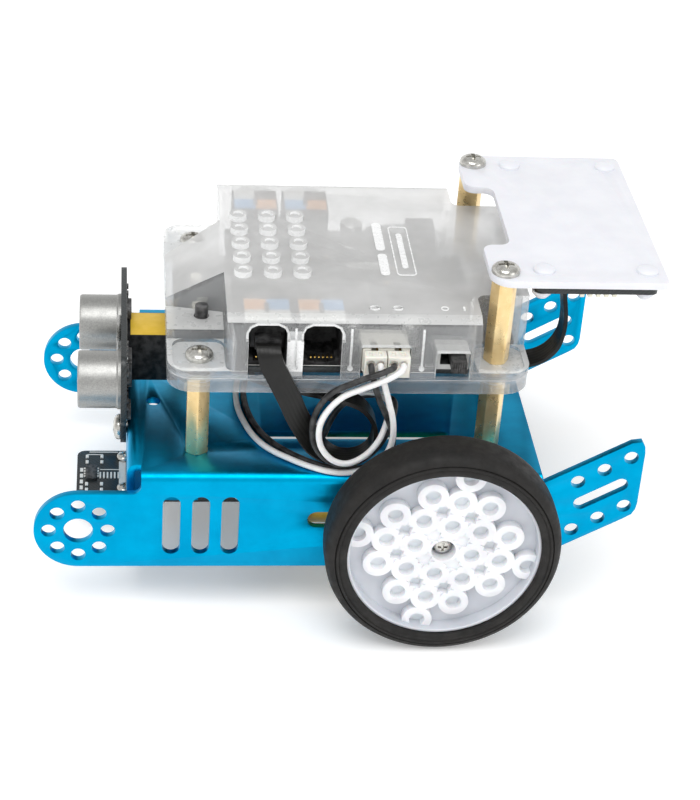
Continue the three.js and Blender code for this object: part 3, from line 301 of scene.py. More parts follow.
def clear_look(name, tint, rough_low, rough_high, alpha, transmission):
    """Clear or frosted plastic. Part of the light goes straight through, so that what is inside stays lit."""
    made = Look(name)
    made.colour(mixed(tint, (0, 0, 0), 0.05), mixed(tint, (1, 1, 1), 0.4), 60, 3)
    made.rough(rough_low, rough_high, 500, 3)
    made.material.blend_method = "BLEND"
    return made.set(Alpha=alpha, Transmission_Weight=transmission, IOR=1.46, Specular_IOR_Level=0.6)


clear = clear_look("clear_case_side", srgb(238, 240, 241), 0.05, 0.12, 0.42, 0.66)
clear_inside = clear_look("clear_case_inside", srgb(240, 242, 243), 0.05, 0.12, 0.14, 0.8)
frosted = clear_look("clear_case_top", srgb(220, 220, 219), 0.3, 0.4, 0.6, 0.06)
# Near-opaque white for the rounded edges of the clear cover and tray, the stud sides, sunk rims, groove and
# notch walls and the raised marks: a painted highlight for the bright edges of the clear moulding.
edge_highlight_white = clear_look("clear_case_painted_edge_highlight", srgb(250, 251, 251), 0.2, 0.34, 0.9, 0.1)
clear_tray = clear_look("clear_case_tray", srgb(214, 221, 227), 0.05, 0.12, 0.5, 0.7)
clear_ledge = clear_look("clear_case_ledge", srgb(232, 233, 232), 0.24, 0.36, 0.72, 0.2)


# ---- Solids ----
PLANES = {
    "XY": lambda u, v, w: (u, v, w),
    "XZ": lambda u, v, w: (u, w, v),
    "YZ": lambda u, v, w: (w, u, v),
}


def solid(verts, faces):
    mesh = bpy.data.meshes.new("solid")
    mesh.from_pydata([Vector(v) * MM for v in verts], [], faces)
    work = bmesh.new()
    work.from_mesh(mesh)
    bmesh.ops.remove_doubles(work, verts=work.verts, dist=1e-7)
    bmesh.ops.recalc_face_normals(work, faces=work.faces)
    work.to_mesh(mesh)
    work.free()
    made = bpy.data.objects.new("solid", mesh)
    bpy.context.collection.objects.link(made)
    return made


def prism(outline, reach, plane="XY"):
    n = len(outline)
    verts = [PLANES[plane](u, v, w) for w in reach for u, v in outline]
    sides = [[i, (i + 1) % n, (i + 1) % n + n, i + n] for i in range(n)]
    return solid(verts, [list(range(n))[::-1], list(range(n, 2 * n)), *sides])


def arc(u, v, radius, start, end, steps=10):
    turns = [math.radians(start + (end - start) * i / steps) for i in range(steps + 1)]
    return [(u + radius * math.cos(t), v + radius * math.sin(t)) for t in turns]


def circle(u, v, radius, sides=32):
    return arc(u, v, radius, 0, 360, sides)[:-1]


def span(side, a, b):
    """The range from a to b on the left, side 1, or its mirror on the right, side -1."""
    return tuple(sorted((side * a, side * b)))


def about(middle, half):
    """The range of 2 x half around a middle."""
    return (middle - half, middle + half)


def row(count, start, step, width):
    """Ranges of one width, evenly spaced."""
    return [(start + i * step, start + i * step + width) for i in range(count)]


def rod(radius, reach, u, v, plane="XY", sides=32):
    return prism(circle(u, v, radius, sides), reach, plane)


def block(xs, ys, zs):
    return prism([(xs[0], ys[0]), (xs[1], ys[0]), (xs[1], ys[1]), (xs[0], ys[1])], zs)


def rounded(us, vs, radius, steps=6):
    (u0, u1), (v0, v1), r = us, vs, radius
    return [
        *arc(u1 - r, v0 + r, r, -90, 0, steps),
        *arc(u1 - r, v1 - r, r, 0, 90, steps),
        *arc(u0 + r, v1 - r, r, 90, 180, steps),
        *arc(u0 + r, v0 + r, r, 180, 270, steps),
    ]


def slot_outline(a, b, radius, steps=12):
    turn = math.degrees(math.atan2(b[1] - a[1], b[0] - a[0]))
    return arc(*b, radius, turn - 90, turn + 90, steps) + arc(*a, radius, turn + 90, turn + 270, steps)


def lathe(profile, axis, centre, sides=64):
    """A turned solid. profile is (radius, height) along axis, from one pole or closed ring to the other."""
    spots = {
        "X": lambda c, s, h: (h + centre[0], c + centre[1], s + centre[2]),
        "Y": lambda c, s, h: (c + centre[0], h + centre[1], s + centre[2]),
        "Z": lambda c, s, h: (c + centre[0], s + centre[1], h + centre[2]),
    }[axis]
    verts, rings = [], []
    for radius, height in profile:
        count = 1 if radius == 0 else sides
        rings.append(range(len(verts), len(verts) + count))
        for i in range(count):
            turn = 2 * math.pi * i / sides
            verts.append(spots(radius * math.cos(turn), radius * math.sin(turn), height))
    faces = []
    for a, b in zip(rings, rings[1:]):
        for i in range(sides):
            j = (i + 1) % sides
            corners = [a[i % len(a)], a[j % len(a)], b[j % len(b)], b[i % len(b)]]
            corners = [c for k, c in enumerate(corners) if c not in corners[:k]]
            if len(corners) > 2:
                faces.append(corners)
    return solid(verts, faces)


def sphere(radius, centre, steps, sides):
    turns = [math.pi * i / steps for i in range(1, steps)]
    profile = [(radius * math.sin(t), -radius * math.cos(t)) for t in turns]
    return lathe([(0, -radius), *profile, (0, radius)], "Z", centre, sides)


def settle(ob):
    """Applies an object's modifiers to its mesh."""
    bpy.context.view_layer.update()
    mesh = bpy.data.meshes.new_from_object(ob.evaluated_get(bpy.context.evaluated_depsgraph_get()))
    ob.modifiers.clear()
    ob.data = mesh
    return ob


def combine(kind, base, tools):
    for tool in tools:
        modifier = base.modifiers.new("combine", "BOOLEAN")
        modifier.operation = kind
        modifier.object = tool
        modifier.solver = "MANIFOLD"
    settle(base)
    for tool in tools:
        bpy.data.objects.remove(tool)
    return base


def cut(base, *tools):
    return combine("DIFFERENCE", base, tools)


def join(base, *others):
    return combine("UNION", base, others)


def overlap(base, *others):
    return combine("INTERSECT", base, others)


def on_side(ob, side):
    """Mirrors a solid made for the left, side 1, if it belongs on the right, side -1."""
    if side < 0:
        ob.data.transform(Matrix.Diagonal((1, -1, 1, 1)))
        ob.data.flip_normals()
    return ob


def from_cad(node):
    made = bpy.data.objects.new(node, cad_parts[node].data.copy())
    bpy.context.collection.objects.link(made)
    made.data.materials.clear()
    return made


def soften(ob, bevel=0.25, segments=2, angle=33, rim=-1):
    """Merges flat faces, rounds sharp edges, shades the rest smooth. rim is the rounding's material slot."""
    work = bmesh.new()
    work.from_mesh(ob.data)
    bmesh.ops.remove_doubles(work, verts=work.verts, dist=1e-7)
    bmesh.ops.dissolve_limit(work, angle_limit=math.radians(0.6), verts=work.verts, edges=work.edges)
    work.to_mesh(ob.data)
    work.free()
    if bevel:
        modifier = ob.modifiers.new("bevel", "BEVEL")
        modifier.width = bevel * MM
        modifier.segments = segments
        modifier.limit_method = "ANGLE"
        modifier.angle_limit = math.radians(angle)
        modifier.material = rim
        settle(ob)
    work = bmesh.new()
    work.from_mesh(ob.data)
    for face in work.faces:
        face.smooth = True
    for edge in work.edges:
        edge.smooth = len(edge.link_faces) == 2 and edge.calc_face_angle(0) < math.radians(34)
    work.to_mesh(ob.data)
    work.free()
    return ob


def dress(ob, *looks):
    ob.data.materials.clear()
    for look in looks:
        ob.data.materials.append(look.material)
    return ob


def dressed(ob, look, bevel=0.25, segments=2):
    return dress(soften(ob, bevel, segments), look)


def pegs(radius, reach, xs, y, sides=24):
    """Upright rods in pairs, at y and -y for each x."""
    return [rod(radius, reach, x, s * y, sides=sides) for x in xs for s in (-1, 1)]


def merge(parts):
    """Several meshes as one object, each keeping its materials."""
    base = parts[0]
    with bpy.context.temp_override(active_object=base, selected_editable_objects=parts):
        bpy.ops.object.join()
    return base


def piece(name, ob, body=CAR, replaces=()):
    ob.name = name
    ob.data.name = name
    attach(ob, body)
    if replaces:
        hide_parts(*replaces)
    return ob


def chips(boxes, look, bevel=0.12):
    """Small rectangular parts, each (x range, y range, z range)."""
    return [dressed(block(*b), look, bevel, 2) for b in boxes]


def standing(surface, boxes):
    """Boxes on a surface, each x, x, y, y and height."""
    return [((a, b), (c, d), (surface, surface + height)) for a, b, c, d, height in boxes]


def print_marks(boxes, look):
    return chips(boxes, look, 0)


# ---- Cords ----
def catmull(points, per_span=10):
    """Centripetal Catmull-Rom through the points."""
    p = [Vector(q) for q in points]
    p = [2 * p[0] - p[1], *p, 2 * p[-1] - p[-2]]
    out = []
    for i in range(1, len(p) - 2):
        a, b, c, d = p[i - 1:i + 3]
        t = [0.0]
        for u, v in ((a, b), (b, c), (c, d)):
            t.append(t[-1] + max((v - u).length, 1e-6) ** 0.5)
        for k in range(per_span):
            s = t[1] + (t[2] - t[1]) * k / per_span
            a1 = a * ((t[1] - s) / (t[1] - t[0])) + b * ((s - t[0]) / (t[1] - t[0]))
            a2 = b * ((t[2] - s) / (t[2] - t[1])) + c * ((s - t[1]) / (t[2] - t[1]))
            a3 = c * ((t[3] - s) / (t[3] - t[2])) + d * ((s - t[2]) / (t[3] - t[2]))
            b1 = a1 * ((t[2] - s) / (t[2] - t[0])) + a2 * ((s - t[0]) / (t[2] - t[0]))
            b2 = a2 * ((t[3] - s) / (t[3] - t[1])) + a3 * ((s - t[1]) / (t[3] - t[1]))
            out.append(b1 * ((t[2] - s) / (t[2] - t[1])) + b2 * ((s - t[1]) / (t[2] - t[1])))
    return [*out, p[-2]]


# The same routes as the CAD, in millimetres.
SENSOR_ROUTE = [
    (22.2, 40.9, 82.6), (22.2, 42.4, 82.5), (21.9, 43.8, 81.2), (21.2, 44.2, 78.8), (19.5, 44.2, 75.2),
    (15.9, 43.6, 67.4), (13.8, 43.0, 62.2), (11.2, 42.2, 57.0), (8.2, 41.2, 51.8), (4.6, 40.2, 48.5),
    (0.2, 39.6, 47.0), (-4.4, 39.4, 47.6), (-7.4, 39.2, 50.6), (-8.0, 39.1, 55.2), (-6.8, 39.0, 59.6),
    (-3.8, 38.8, 63.2), (0.6, 38.4, 65.2), (6.0, 36.8, 65.8), (12.0, 33.2, 65.0), (17.6, 28.0, 63.2),
    (22.6, 21.2, 61.0), (26.6, 13.8, 58.8), (29.8, 7.0, 57.2), (33.0, 2.0, 56.4), (36.4, 0, 56.3),
    (39.6, 0, 56.3),
]
SENSOR_FACE = [
    (1, 0, 0), (1, 0, 0), (1, 0, -0.1), (1, 0, -0.3), (0.9, 0, -0.4),
    (0.9, 0, -0.4), (0.9, 0.1, -0.4), (0.85, 0.3, -0.4), (0.7, 0.6, -0.4), (0.4, 0.9, -0.2),
    (0.1, 1, 0), (0, 1, 0), (0, 1, 0), (0, 1, 0), (0, 1, 0),
    (0, 1, 0), (0.1, 1, 0), (0.3, 1, 0), (0.6, 1, 0), (0.8, 0.8, 0),
    (0.9, 0.7, 0), (0.9, 0.6, 0), (0.8, 0.8, 0), (0.4, 1, 0), (0, 1, 0),
    (0, 1, 0),
]
DISPLAY_ROUTE = [
    (-65.5, -6, 75.8), (-65.6, -6, 73.6), (-66.2, -6, 70.2), (-66.8, -6.0, 65.4), (-66.6, -6, 60.4),
    (-65.2, -6.2, 55.8), (-62.2, -6.8, 52), (-58, -8.4, 49.2), (-52.6, -11.2, 47.6), (-46, -15, 47.0),
    (-38.6, -19.6, 47.0), (-30.4, -25.6, 47.6), (-21.6, -32.2, 48.8), (-12.8, -38, 51.2), (-4.2, -42.6, 55.0),
    (3.6, -45.2, 60.2), (10.2, -46.4, 66.4), (15.8, -47.0, 72.2), (20, -46.4, 77.6), (22, -44.4, 81.4),
    (22.2, -42.4, 82.6), (22.2, -40.9, 82.6),
]
DISPLAY_FACE = [
    (0, -1, 0), (0, -1, 0), (0, -1, 0), (0, -1, 0), (0, -1, 0),
    (0.1, -1, 0), (0.2, -1, 0), (0.3, -0.9, 0), (0.4, -0.9, 0), (0.5, -0.85, 0),
    (0.55, -0.85, 0), (0.6, -0.8, 0), (0.7, -0.7, 0), (0.8, -0.6, -0.1), (0.9, -0.5, -0.2),
    (1, -0.3, -0.4), (1, -0.1, -0.6), (1, 0, -0.6), (1, 0, -0.3), (1, 0, -0.1),
    (1, 0, 0), (1, 0, 0),
]
LEFT_WHITE_ROUTE = [
    (-13.4, 44.6, 79.0), (-13.3, 45.6, 79.0), (-12.2, 47.4, 78.6), (-9.6, 48.6, 77.6), (-6.2, 48.8, 76.0),
    (-2.5, 48.3, 74.0), (2.2, 47.4, 71.0), (5.9, 46.8, 66.3), (7.9, 46.5, 60.7), (7.2, 46.4, 54.6),
    (3.9, 46.4, 50.2), (-0.2, 46.3, 49.0), (-4.9, 45.8, 51.2), (-8.3, 44.8, 55.1), (-10.2, 42.8, 58.7),
    (-11.2, 40.0, 61.2), (-11.4, 36.6, 62.4), (-9.8, 33.2, 62.6), (-6.6, 30.2, 61.6), (-2.6, 27.8, 59.2),
    (1.2, 26.0, 55.6), (4.2, 25.0, 51.0), (6.0, 24.9, 46.4), (7.6, 24.8, 42.6), (10.6, 24.2, 40.2),
    (15.0, 23.8, 38.8), (20.6, 23.8, 38.0), (26.6, 24.4, 37.0), (30.6, 27.0, 36.0), (31.2, 29.8, 35.0),
    (28.6, 31.0, 34.6),
]
LEFT_BLACK_ROUTE = [
    (-10.9, 44.6, 79.0), (-10.8, 45.6, 79.1), (-9.9, 47.4, 79.6), (-7.4, 48.7, 79.2), (-3.8, 48.8, 77.8),
    (0.2, 48.0, 75.4), (4.6, 46.4, 72.0), (7.9, 45.2, 67.0), (9.6, 44.8, 60.8), (8.8, 44.6, 54.0),
    (4.9, 44.6, 48.9), (-0.3, 44.6, 47.5), (-5.9, 44.0, 49.8), (-10.0, 42.5, 54.2), (-12.0, 40.6, 58.2),
    (-13.1, 38.0, 61.0), (-13.2, 34.6, 61.6), (-11.2, 31.4, 61.0), (-7.6, 28.4, 59.6), (-3.4, 26.2, 57.0),
    (0.2, 24.9, 53.2), (2.6, 24.9, 48.6), (4.0, 24.8, 44.2), (6.2, 23.3, 40.0), (11.0, 22.6, 37.2),
    (16.0, 22.4, 35.4), (21.4, 22.6, 33.4), (26.6, 23.8, 31.2), (30.8, 26.4, 29.8), (31.4, 29.2, 29.2),
    (28.6, 30.4, 29.0),
]
RIGHT_WHITE_ROUTE = [
    (-7.3, 44.6, 79.0), (-7.3, 45.4, 78.9), (-7.6, 46.2, 77.6), (-8.2, 46.3, 75.2), (-9.2, 46.3, 71.8),
    (-10.3, 46.3, 68.0), (-11.3, 46.4, 64.4), (-11.9, 46.4, 60.6), (-11.9, 46.2, 56.4), (-10.8, 45.9, 52.2),
    (-8.2, 45.6, 48.6), (-4.6, 45.2, 46.2), (0, 44.8, 45.0), (4.2, 44.2, 45.0), (8.0, 42.6, 45.0),
    (11.6, 40.4, 45.0), (15.0, 37.8, 45.0), (18.4, 34.8, 44.9), (21.6, 31.0, 44.9), (24.2, 26.0, 44.9),
    (26.2, 19.6, 44.9), (27.6, 12.4, 44.9), (27.8, 4.6, 44.9), (26.8, -3.2, 44.9), (24.6, -10.6, 44.9),
    (21.4, -17.2, 45.2), (17.8, -22.2, 45.6), (15.0, -24.6, 44.6), (14.0, -24.6, 41.4), (16.0, -23.9, 39.0),
    (20.6, -23.8, 38.0), (26.6, -24.4, 37.0), (30.6, -27.0, 36.0), (31.2, -29.8, 35.0), (28.6, -31.0, 34.6),
]
RIGHT_BLACK_ROUTE = [
    (-4.8, 44.6, 79.0), (-4.8, 45.4, 78.9), (-5.0, 46.2, 77.6), (-5.8, 46.2, 74.8), (-6.8, 46.0, 71.4),
    (-8.0, 45.7, 68.0), (-9.6, 45.2, 64.4), (-11.2, 44.6, 60.4), (-12.4, 44.2, 56.2), (-12.2, 43.5, 51.6),
    (-9.6, 43.0, 47.6), (-5.4, 42.9, 45.4), (0, 42.9, 45.0), (4.2, 42.2, 45.0), (7.6, 40.6, 45.0),
    (10.8, 38.4, 45.0), (14.2, 35.4, 44.9), (17.6, 31.8, 44.9), (20.4, 27.6, 44.9), (22.6, 22.8, 44.9),
    (24.4, 16.8, 44.9), (25.4, 10.4, 44.9), (25.6, 4.0, 44.9), (24.6, -3.2, 44.9), (22.4, -10.0, 44.9),
    (19.0, -16.2, 45.2), (15.0, -21.4, 45.6), (11.6, -24.6, 45.0), (10.2, -24.9, 42.0), (11.6, -23.0, 38.2),
    (16.0, -22.4, 35.4), (21.4, -22.6, 33.4), (26.6, -23.8, 31.2), (30.8, -26.4, 29.8), (31.4, -29.2, 29.2),
    (28.6, -30.4, 29.0),
]

LEAD_RADIUS = 0.85
CABLE_WIDTH, FLAT_HALF = 6.4, 0.62


def lead(name, node, route, look):
    path = [q * MM for q in catmull(route, 8)]
    curve = bpy.data.curves.new(name, "CURVE")
    curve.dimensions = "3D"
    curve.bevel_depth = LEAD_RADIUS * MM
    curve.bevel_resolution = 4
    curve.use_fill_caps = True
    spline = curve.splines.new("POLY")
    spline.points.add(len(path) - 1)
    for point, spot in zip(spline.points, path):
        point.co = (*spot, 1)
    spline.use_smooth = True
    curve.materials.append(look.material)
    ob = bpy.data.objects.new(name, curve)
    bpy.context.collection.objects.link(ob)
    piece(name, ob, replaces=[node])


def flat_section(wires=6):
    """The flat cable's outline: a row of rounded wires side by side."""
    pitch = CABLE_WIDTH / wires
    top = []
    for i in range(wires):
        u = -CABLE_WIDTH / 2 + pitch * (i + 0.5)
        for k in range(5):
            t = math.pi * (1 - (k + 0.5) / 5)
            top.append((u + pitch / 2 * math.cos(t), FLAT_HALF - 0.04 + 0.04 * math.sin(t)))
    bottom = [(-u, -v) for u, v in top]
    return top + bottom


def flat_cable(name, node, route, faces):
    path = catmull(route, 8)
    guides = catmull(faces, 8)
    section = flat_section()
    verts, rings = [], []
    for i, spot in enumerate(path):
        ahead = (path[min(i + 1, len(path) - 1)] - path[max(i - 1, 0)]).normalized()
        across = guides[i] - ahead * guides[i].dot(ahead)
        across.normalize()
        out = ahead.cross(across)
        rings.append(range(len(verts), len(verts) + len(section)))
        verts += [spot + across * u + out * v for u, v in section]
    faces_out = [list(rings[0])[::-1], list(rings[-1])]
    n = len(section)
    for a, b in zip(rings, rings[1:]):
        faces_out += [[a[i], a[(i + 1) % n], b[(i + 1) % n], b[i]] for i in range(n)]
    ob = dressed(solid(verts, faces_out), flat_black, 0)
    piece(name, ob, replaces=[node])


# Plugs come before the cords that name them.
def side_plug(name, x, side):
    body = block(about(x, 4.5), (28, 36.4), (79.3, 85.6))
    collar = block(about(x, 3.5), (36, 40.6), (81.2, 84.0))
    grooves = [block(xs, (27, 36), (85.42, 86)) for xs in row(6, x - 3.3, 1.1, 0.4)]
    latch = block(about(x, 1.6), (31, 39.2), (77.2, 79.8))
    ob = dressed(join(cut(body, *grooves), latch, collar), contact_black, 0.3)
    return piece(name + "_moulded", on_side(ob, side), replaces=[name])


side_plug("sensor_cable_case_plug", JACK_X[0], 1)
side_plug("display_cable_case_plug", JACK_X[0], -1)
for cad_name in ("sensor_cable_sensor_plug", "display_cable_display_plug"):
    piece(cad_name + "_moulded", dressed(from_cad(cad_name), black, 0.3, 3),
          replaces=[cad_name])


def motor_plug(name, x, wires):
    shell = block(about(x, 2.95), (40.7, 44.2), (74.9, 81.2))
    holes = [rod(1.05, (43.2, 45), wire, 79.0, "XZ", 20) for wire in wires]
    windows = [block(about(wire, 0.5), (41.4, 43.2), (80.6, 82)) for wire in wires]
    rib = block(about(x, 1.6), (42.8, 44.2), (74.9, 76.1))
    ob = dressed(join(cut(shell, *holes, *windows), rib), white_plug, 0.25, 3)
    return piece(name + "_moulded", ob, replaces=[name])


motor_plug("rear_motor_plug", -12.3, (-13.4, -10.9))
motor_plug("front_motor_plug", -6.1, (-7.3, -4.8))

flat_cable("sensor_cable_flat", "sensor_cable", SENSOR_ROUTE, SENSOR_FACE)
flat_cable("display_cable_flat", "display_cable", DISPLAY_ROUTE, DISPLAY_FACE)
for wire, route, look, slot, plugs in (
    ("left_motor_white", LEFT_WHITE_ROUTE, wire_white, "white_lead", ["rear_motor_plug_moulded"]),
    ("left_motor_black", LEFT_BLACK_ROUTE, wire_black, "black_cable", []),
    ("right_motor_white", RIGHT_WHITE_ROUTE, wire_white, "white_lead", ["front_motor_plug_moulded"]),
    ("right_motor_black", RIGHT_BLACK_ROUTE, wire_black, "black_cable", []),
):
    lead(wire + "_wire", wire + "_lead", route, look)


# ---- Chassis ----
def wall_outline():
    rise = math.tan(TAIL_ANGLE)
    low, high, corner = 32.2, 57.6, 4
    tail = [(TAIL_X + corner, high - corner * rise), (TAIL_X + 1.2, high - 1.9), (TAIL_X + 0.3, high - 3.4),
            (TAIL_X, high - corner * 1.4)]
    foot = [(TAIL_X, low + corner * 0.8), (TAIL_X + 0.3, low + 1.2), (TAIL_X + 1.2, low - 0.5),
            (TAIL_X + corner * 0.8, low - corner * 0.8 * rise)]
    return [
        *arc(NOSE_X, NOSE_Z, NOSE_RADIUS, -90, 90, 40),
        *arc(WALL_STEP_X + 2.5, NOSE_Z + NOSE_RADIUS + 2.5, 2.5, -90, -180, 8),
        (WALL_STEP_X, DECK_TOP), (DECK_REAR, DECK_TOP),
        (DECK_REAR - 0.4, high - (DECK_REAR - 0.4 - TAIL_X) * rise),
        *tail, *foot, (TAIL_X + (low - WALL_BOTTOM) / rise, WALL_BOTTOM),
    ]


def wall_holes():
    across = (HALF_WIDTH - SHEET - 1, HALF_WIDTH + 1)
    holes = [rod(4, across, NOSE_X, NOSE_Z, "XZ", 40), rod(4.5, across, AXLE_X, AXLE_Z, "XZ", 40)]
    for i in range(8):
        turn = i * math.pi / 4
        holes.append(rod(HOLE, across, NOSE_X + PITCH * math.cos(turn), NOSE_Z + PITCH * math.sin(turn),
                         "XZ", 24))
    for i in range(3):
        x, climb = -64.5 - i * PITCH * math.cos(TAIL_ANGLE), i * PITCH * math.sin(TAIL_ANGLE)
        holes += [rod(HOLE, across, x, z + climb, "XZ", 24) for z in (42.5, 26.5)]
    holes.append(prism(slot_outline((-66, 35.4), (-76.6, 41.6), HOLE), across, "XZ"))
    holes += [prism(slot_outline((x, 20.6), (x, 34.8), 2.4), across, "XZ") for x in (46.5, 38.5, 30.5)]
    holes.append(prism(slot_outline((6.8, 29.7), (0, 29.7), 2.6), across, "XZ"))
    return holes


def folded_deck():
    """The deck with its two side folds, as one bent sheet."""
    outer, inner, low = 2.6, 0.6, DECK_TOP - 4
    half = HALF_WIDTH
    section = [
        (-half, low), *arc(-half + outer, DECK_TOP - outer, outer, 180, 90, 8),
        *arc(half - outer, DECK_TOP - outer, outer, 90, 0, 8), (half, low), (half - SHEET, low),
        *arc(half - SHEET - inner, DECK_TOP - SHEET - inner, inner, 0, 90, 3),
        *arc(-half + SHEET + inner, DECK_TOP - SHEET - inner, inner, 90, 180, 3), (-half + SHEET, low),
    ]
    return prism(section, (DECK_REAR, WALL_STEP_X), "YZ")


def front_fold(half, with_lip):
    """The front flange, panel and, in the middle, the lip under it, seen from the side."""
    outer, inner = 2.6, 0.6
    front, back = DECK_FRONT, DECK_FRONT - SHEET
    top = [(WALL_STEP_X - 6, DECK_TOP - SHEET), (WALL_STEP_X - 6, DECK_TOP),
           *arc(front - outer, DECK_TOP - outer, outer, 90, 0, 8)]
    if with_lip:
        foot = [*arc(front - outer, WALL_BOTTOM + outer, outer, 0, -90, 8), (38, WALL_BOTTOM),
                (38, WALL_BOTTOM + SHEET), *arc(back - inner, WALL_BOTTOM + SHEET + inner, inner, -90, 0, 3)]
    else:
        foot = [(front, WALL_BOTTOM), (back, WALL_BOTTOM)]
    rest = arc(back - inner, DECK_TOP - SHEET - inner, inner, 0, 90, 3)
    return prism(top + foot + rest, (-half, half), "XZ")


def chassis():
    wall = cut(prism(wall_outline(), (HALF_WIDTH - SHEET, HALF_WIDTH), "XZ"),
               block((DECK_REAR, WALL_STEP_X), (30, 60), (DECK_TOP - 4, DECK_TOP + 1)), *wall_holes())
    twin = bpy.data.objects.new("right_wall", wall.data.copy())
    bpy.context.collection.objects.link(twin)
    body = join(wall, on_side(twin, -1), folded_deck(), front_fold(40, False), front_fold(14, True))
    through = (DECK_TOP - SHEET - 1, DECK_TOP + 1)
    holes = []
    for side in (-1, 1):
        holes += [rod(HOLE, through, x, side * POST_Y, sides=24) for x in POST_X]
        holes.append(prism(slot_outline((-29.3, side * SLOT_Y), (19.7, side * SLOT_Y), 2), through))
        holes.append(rod(HOLE, through, 51.2, side * PITCH, sides=24))
        holes.append(rod(HOLE, (DECK_FRONT - 4, DECK_FRONT + 1), side * 16, 40.6, "YZ", 24))
        holes.append(rod(HOLE, (WALL_BOTTOM - 1, WALL_BOTTOM + 3), CASTER_X - 8, side * 8, sides=24))
        holes.append(rod(3.1, (WALL_BOTTOM - 1, WALL_BOTTOM + 1.5), CASTER_X, side * 8, sides=24))
    return piece("folded_chassis", dressed(cut(body, *holes), blue, 0.22, 2),
                 replaces=["chassis"])


chassis()


# ---- Drive ----
def gear_motor(side_name, side):
    """A geared motor: two clamped gearbox halves, a collar, the flat-sided can and its end cap."""
    middle = 33.8
    rear, front = AXLE_X - 11, AXLE_X + 26
    shell = prism(rounded((rear, front), about(AXLE_Z, 9.8), 3), about(middle, 9.4), "XZ")
    seam = cut(block((rear - 1, front + 1), about(middle, 0.15), (20, 44)),
               block((rear + 0.3, front - 0.3), about(middle, 1), about(AXLE_Z, 9.5)))
    bore = rod(3, (middle, middle + 10), AXLE_X, AXLE_Z, "XZ", 32)
    corners = [(x, AXLE_Z + dz) for x in (rear + 3, front - 3) for dz in (-6.8, 6.8)]
    wells = [rod(1.5, (middle - 10, middle - 8.6), x, z, "XZ", 16) for x, z in corners]
    collar = rod(9.3, (front - 1, front + 9), middle, AXLE_Z, "YZ", 48)
    box = cut(join(shell, collar), seam, bore, *wells)
    heads = [dressed(cut(rod(1.3, (middle - 9.3, middle - 8.6), x, z, "XZ", 16),
                              block(about(x, 1), (middle - 9.5, middle - 9), about(z, 0.15))), steel, 0.08)
             for x, z in corners]
    flats = block((0, 60), about(middle, 7.6), about(AXLE_Z, 11))
    can = overlap(rod(9.4, (front + 9, front + 25.4), middle, AXLE_Z, "YZ", 56), flats)
    flats = block((0, 60), about(middle, 7.4), about(AXLE_Z, 11))
    cap = overlap(rod(9.2, (front + 25.4, front + 27), middle, AXLE_Z, "YZ", 56), flats)
    boss = lathe([(0, 0), (3, 0), (3, 1.4), (2.4, 2), (0, 2)], "X", (front + 27, middle, AXLE_Z), 24)
    tabs = chips([((front + 26.8, front + 28.2), (middle - 4, middle - 1.6), about(AXLE_Z + dz, 0.3))
                  for dz in (-2.9, 2.9)], gold, 0.05)
    parts = [dressed(box, motor_yellow, 0.5, 3), *heads, dressed(can, tin, 0.4, 2),
             dressed(cap, socket_white, 0.2, 2), dressed(boss, tin, 0), *tabs]
    whole = on_side(merge(parts), side)
    return piece(side_name + "_geared_motor", whole,
                 replaces=[side_name + "_gear_motor"])


def tyre(side_name, side):
    profile = [(26.8, 52.9), (27.2, 52.55), (29.2, 52.4), (30.4, 52.8), (31.1, 53.6), (31.6, 54.5),
               (31.9, 55.6), (32, 57), (32, 61.8), (31.9, 63.2), (31.6, 64.3), (31.1, 65.1), (30.4, 65.75),
               (29.6, 66.05), (29.35, 65.75), (29.1, 66.3), (28.6, 66.4), (28.3, 66.1), (27.9, 66.3),
               (27.2, 66.3), (26.5, 66.1), (26.3, 65.9), (26.22, 65.6), (26.2, 64.95), (26.8, 64.9),
               (26.8, 52.9)]
    ring = lathe([(r, side * h) for r, h in profile], "Y", (AXLE_X, 0, AXLE_Z), 128)
    return piece(side_name + "_rubber_tyre", dressed(ring, rubber, 0), side_name + "_wheel",
                 [side_name + "_tyre"])


def lattice_spot(a, b):
    """A place on the hub's square grid, which is turned a little against the car."""
    c, s = math.cos(LATTICE_TURN), math.sin(LATTICE_TURN)
    return AXLE_X + PITCH * (-a * c + b * s), AXLE_Z + PITCH * (-a * s - b * c)


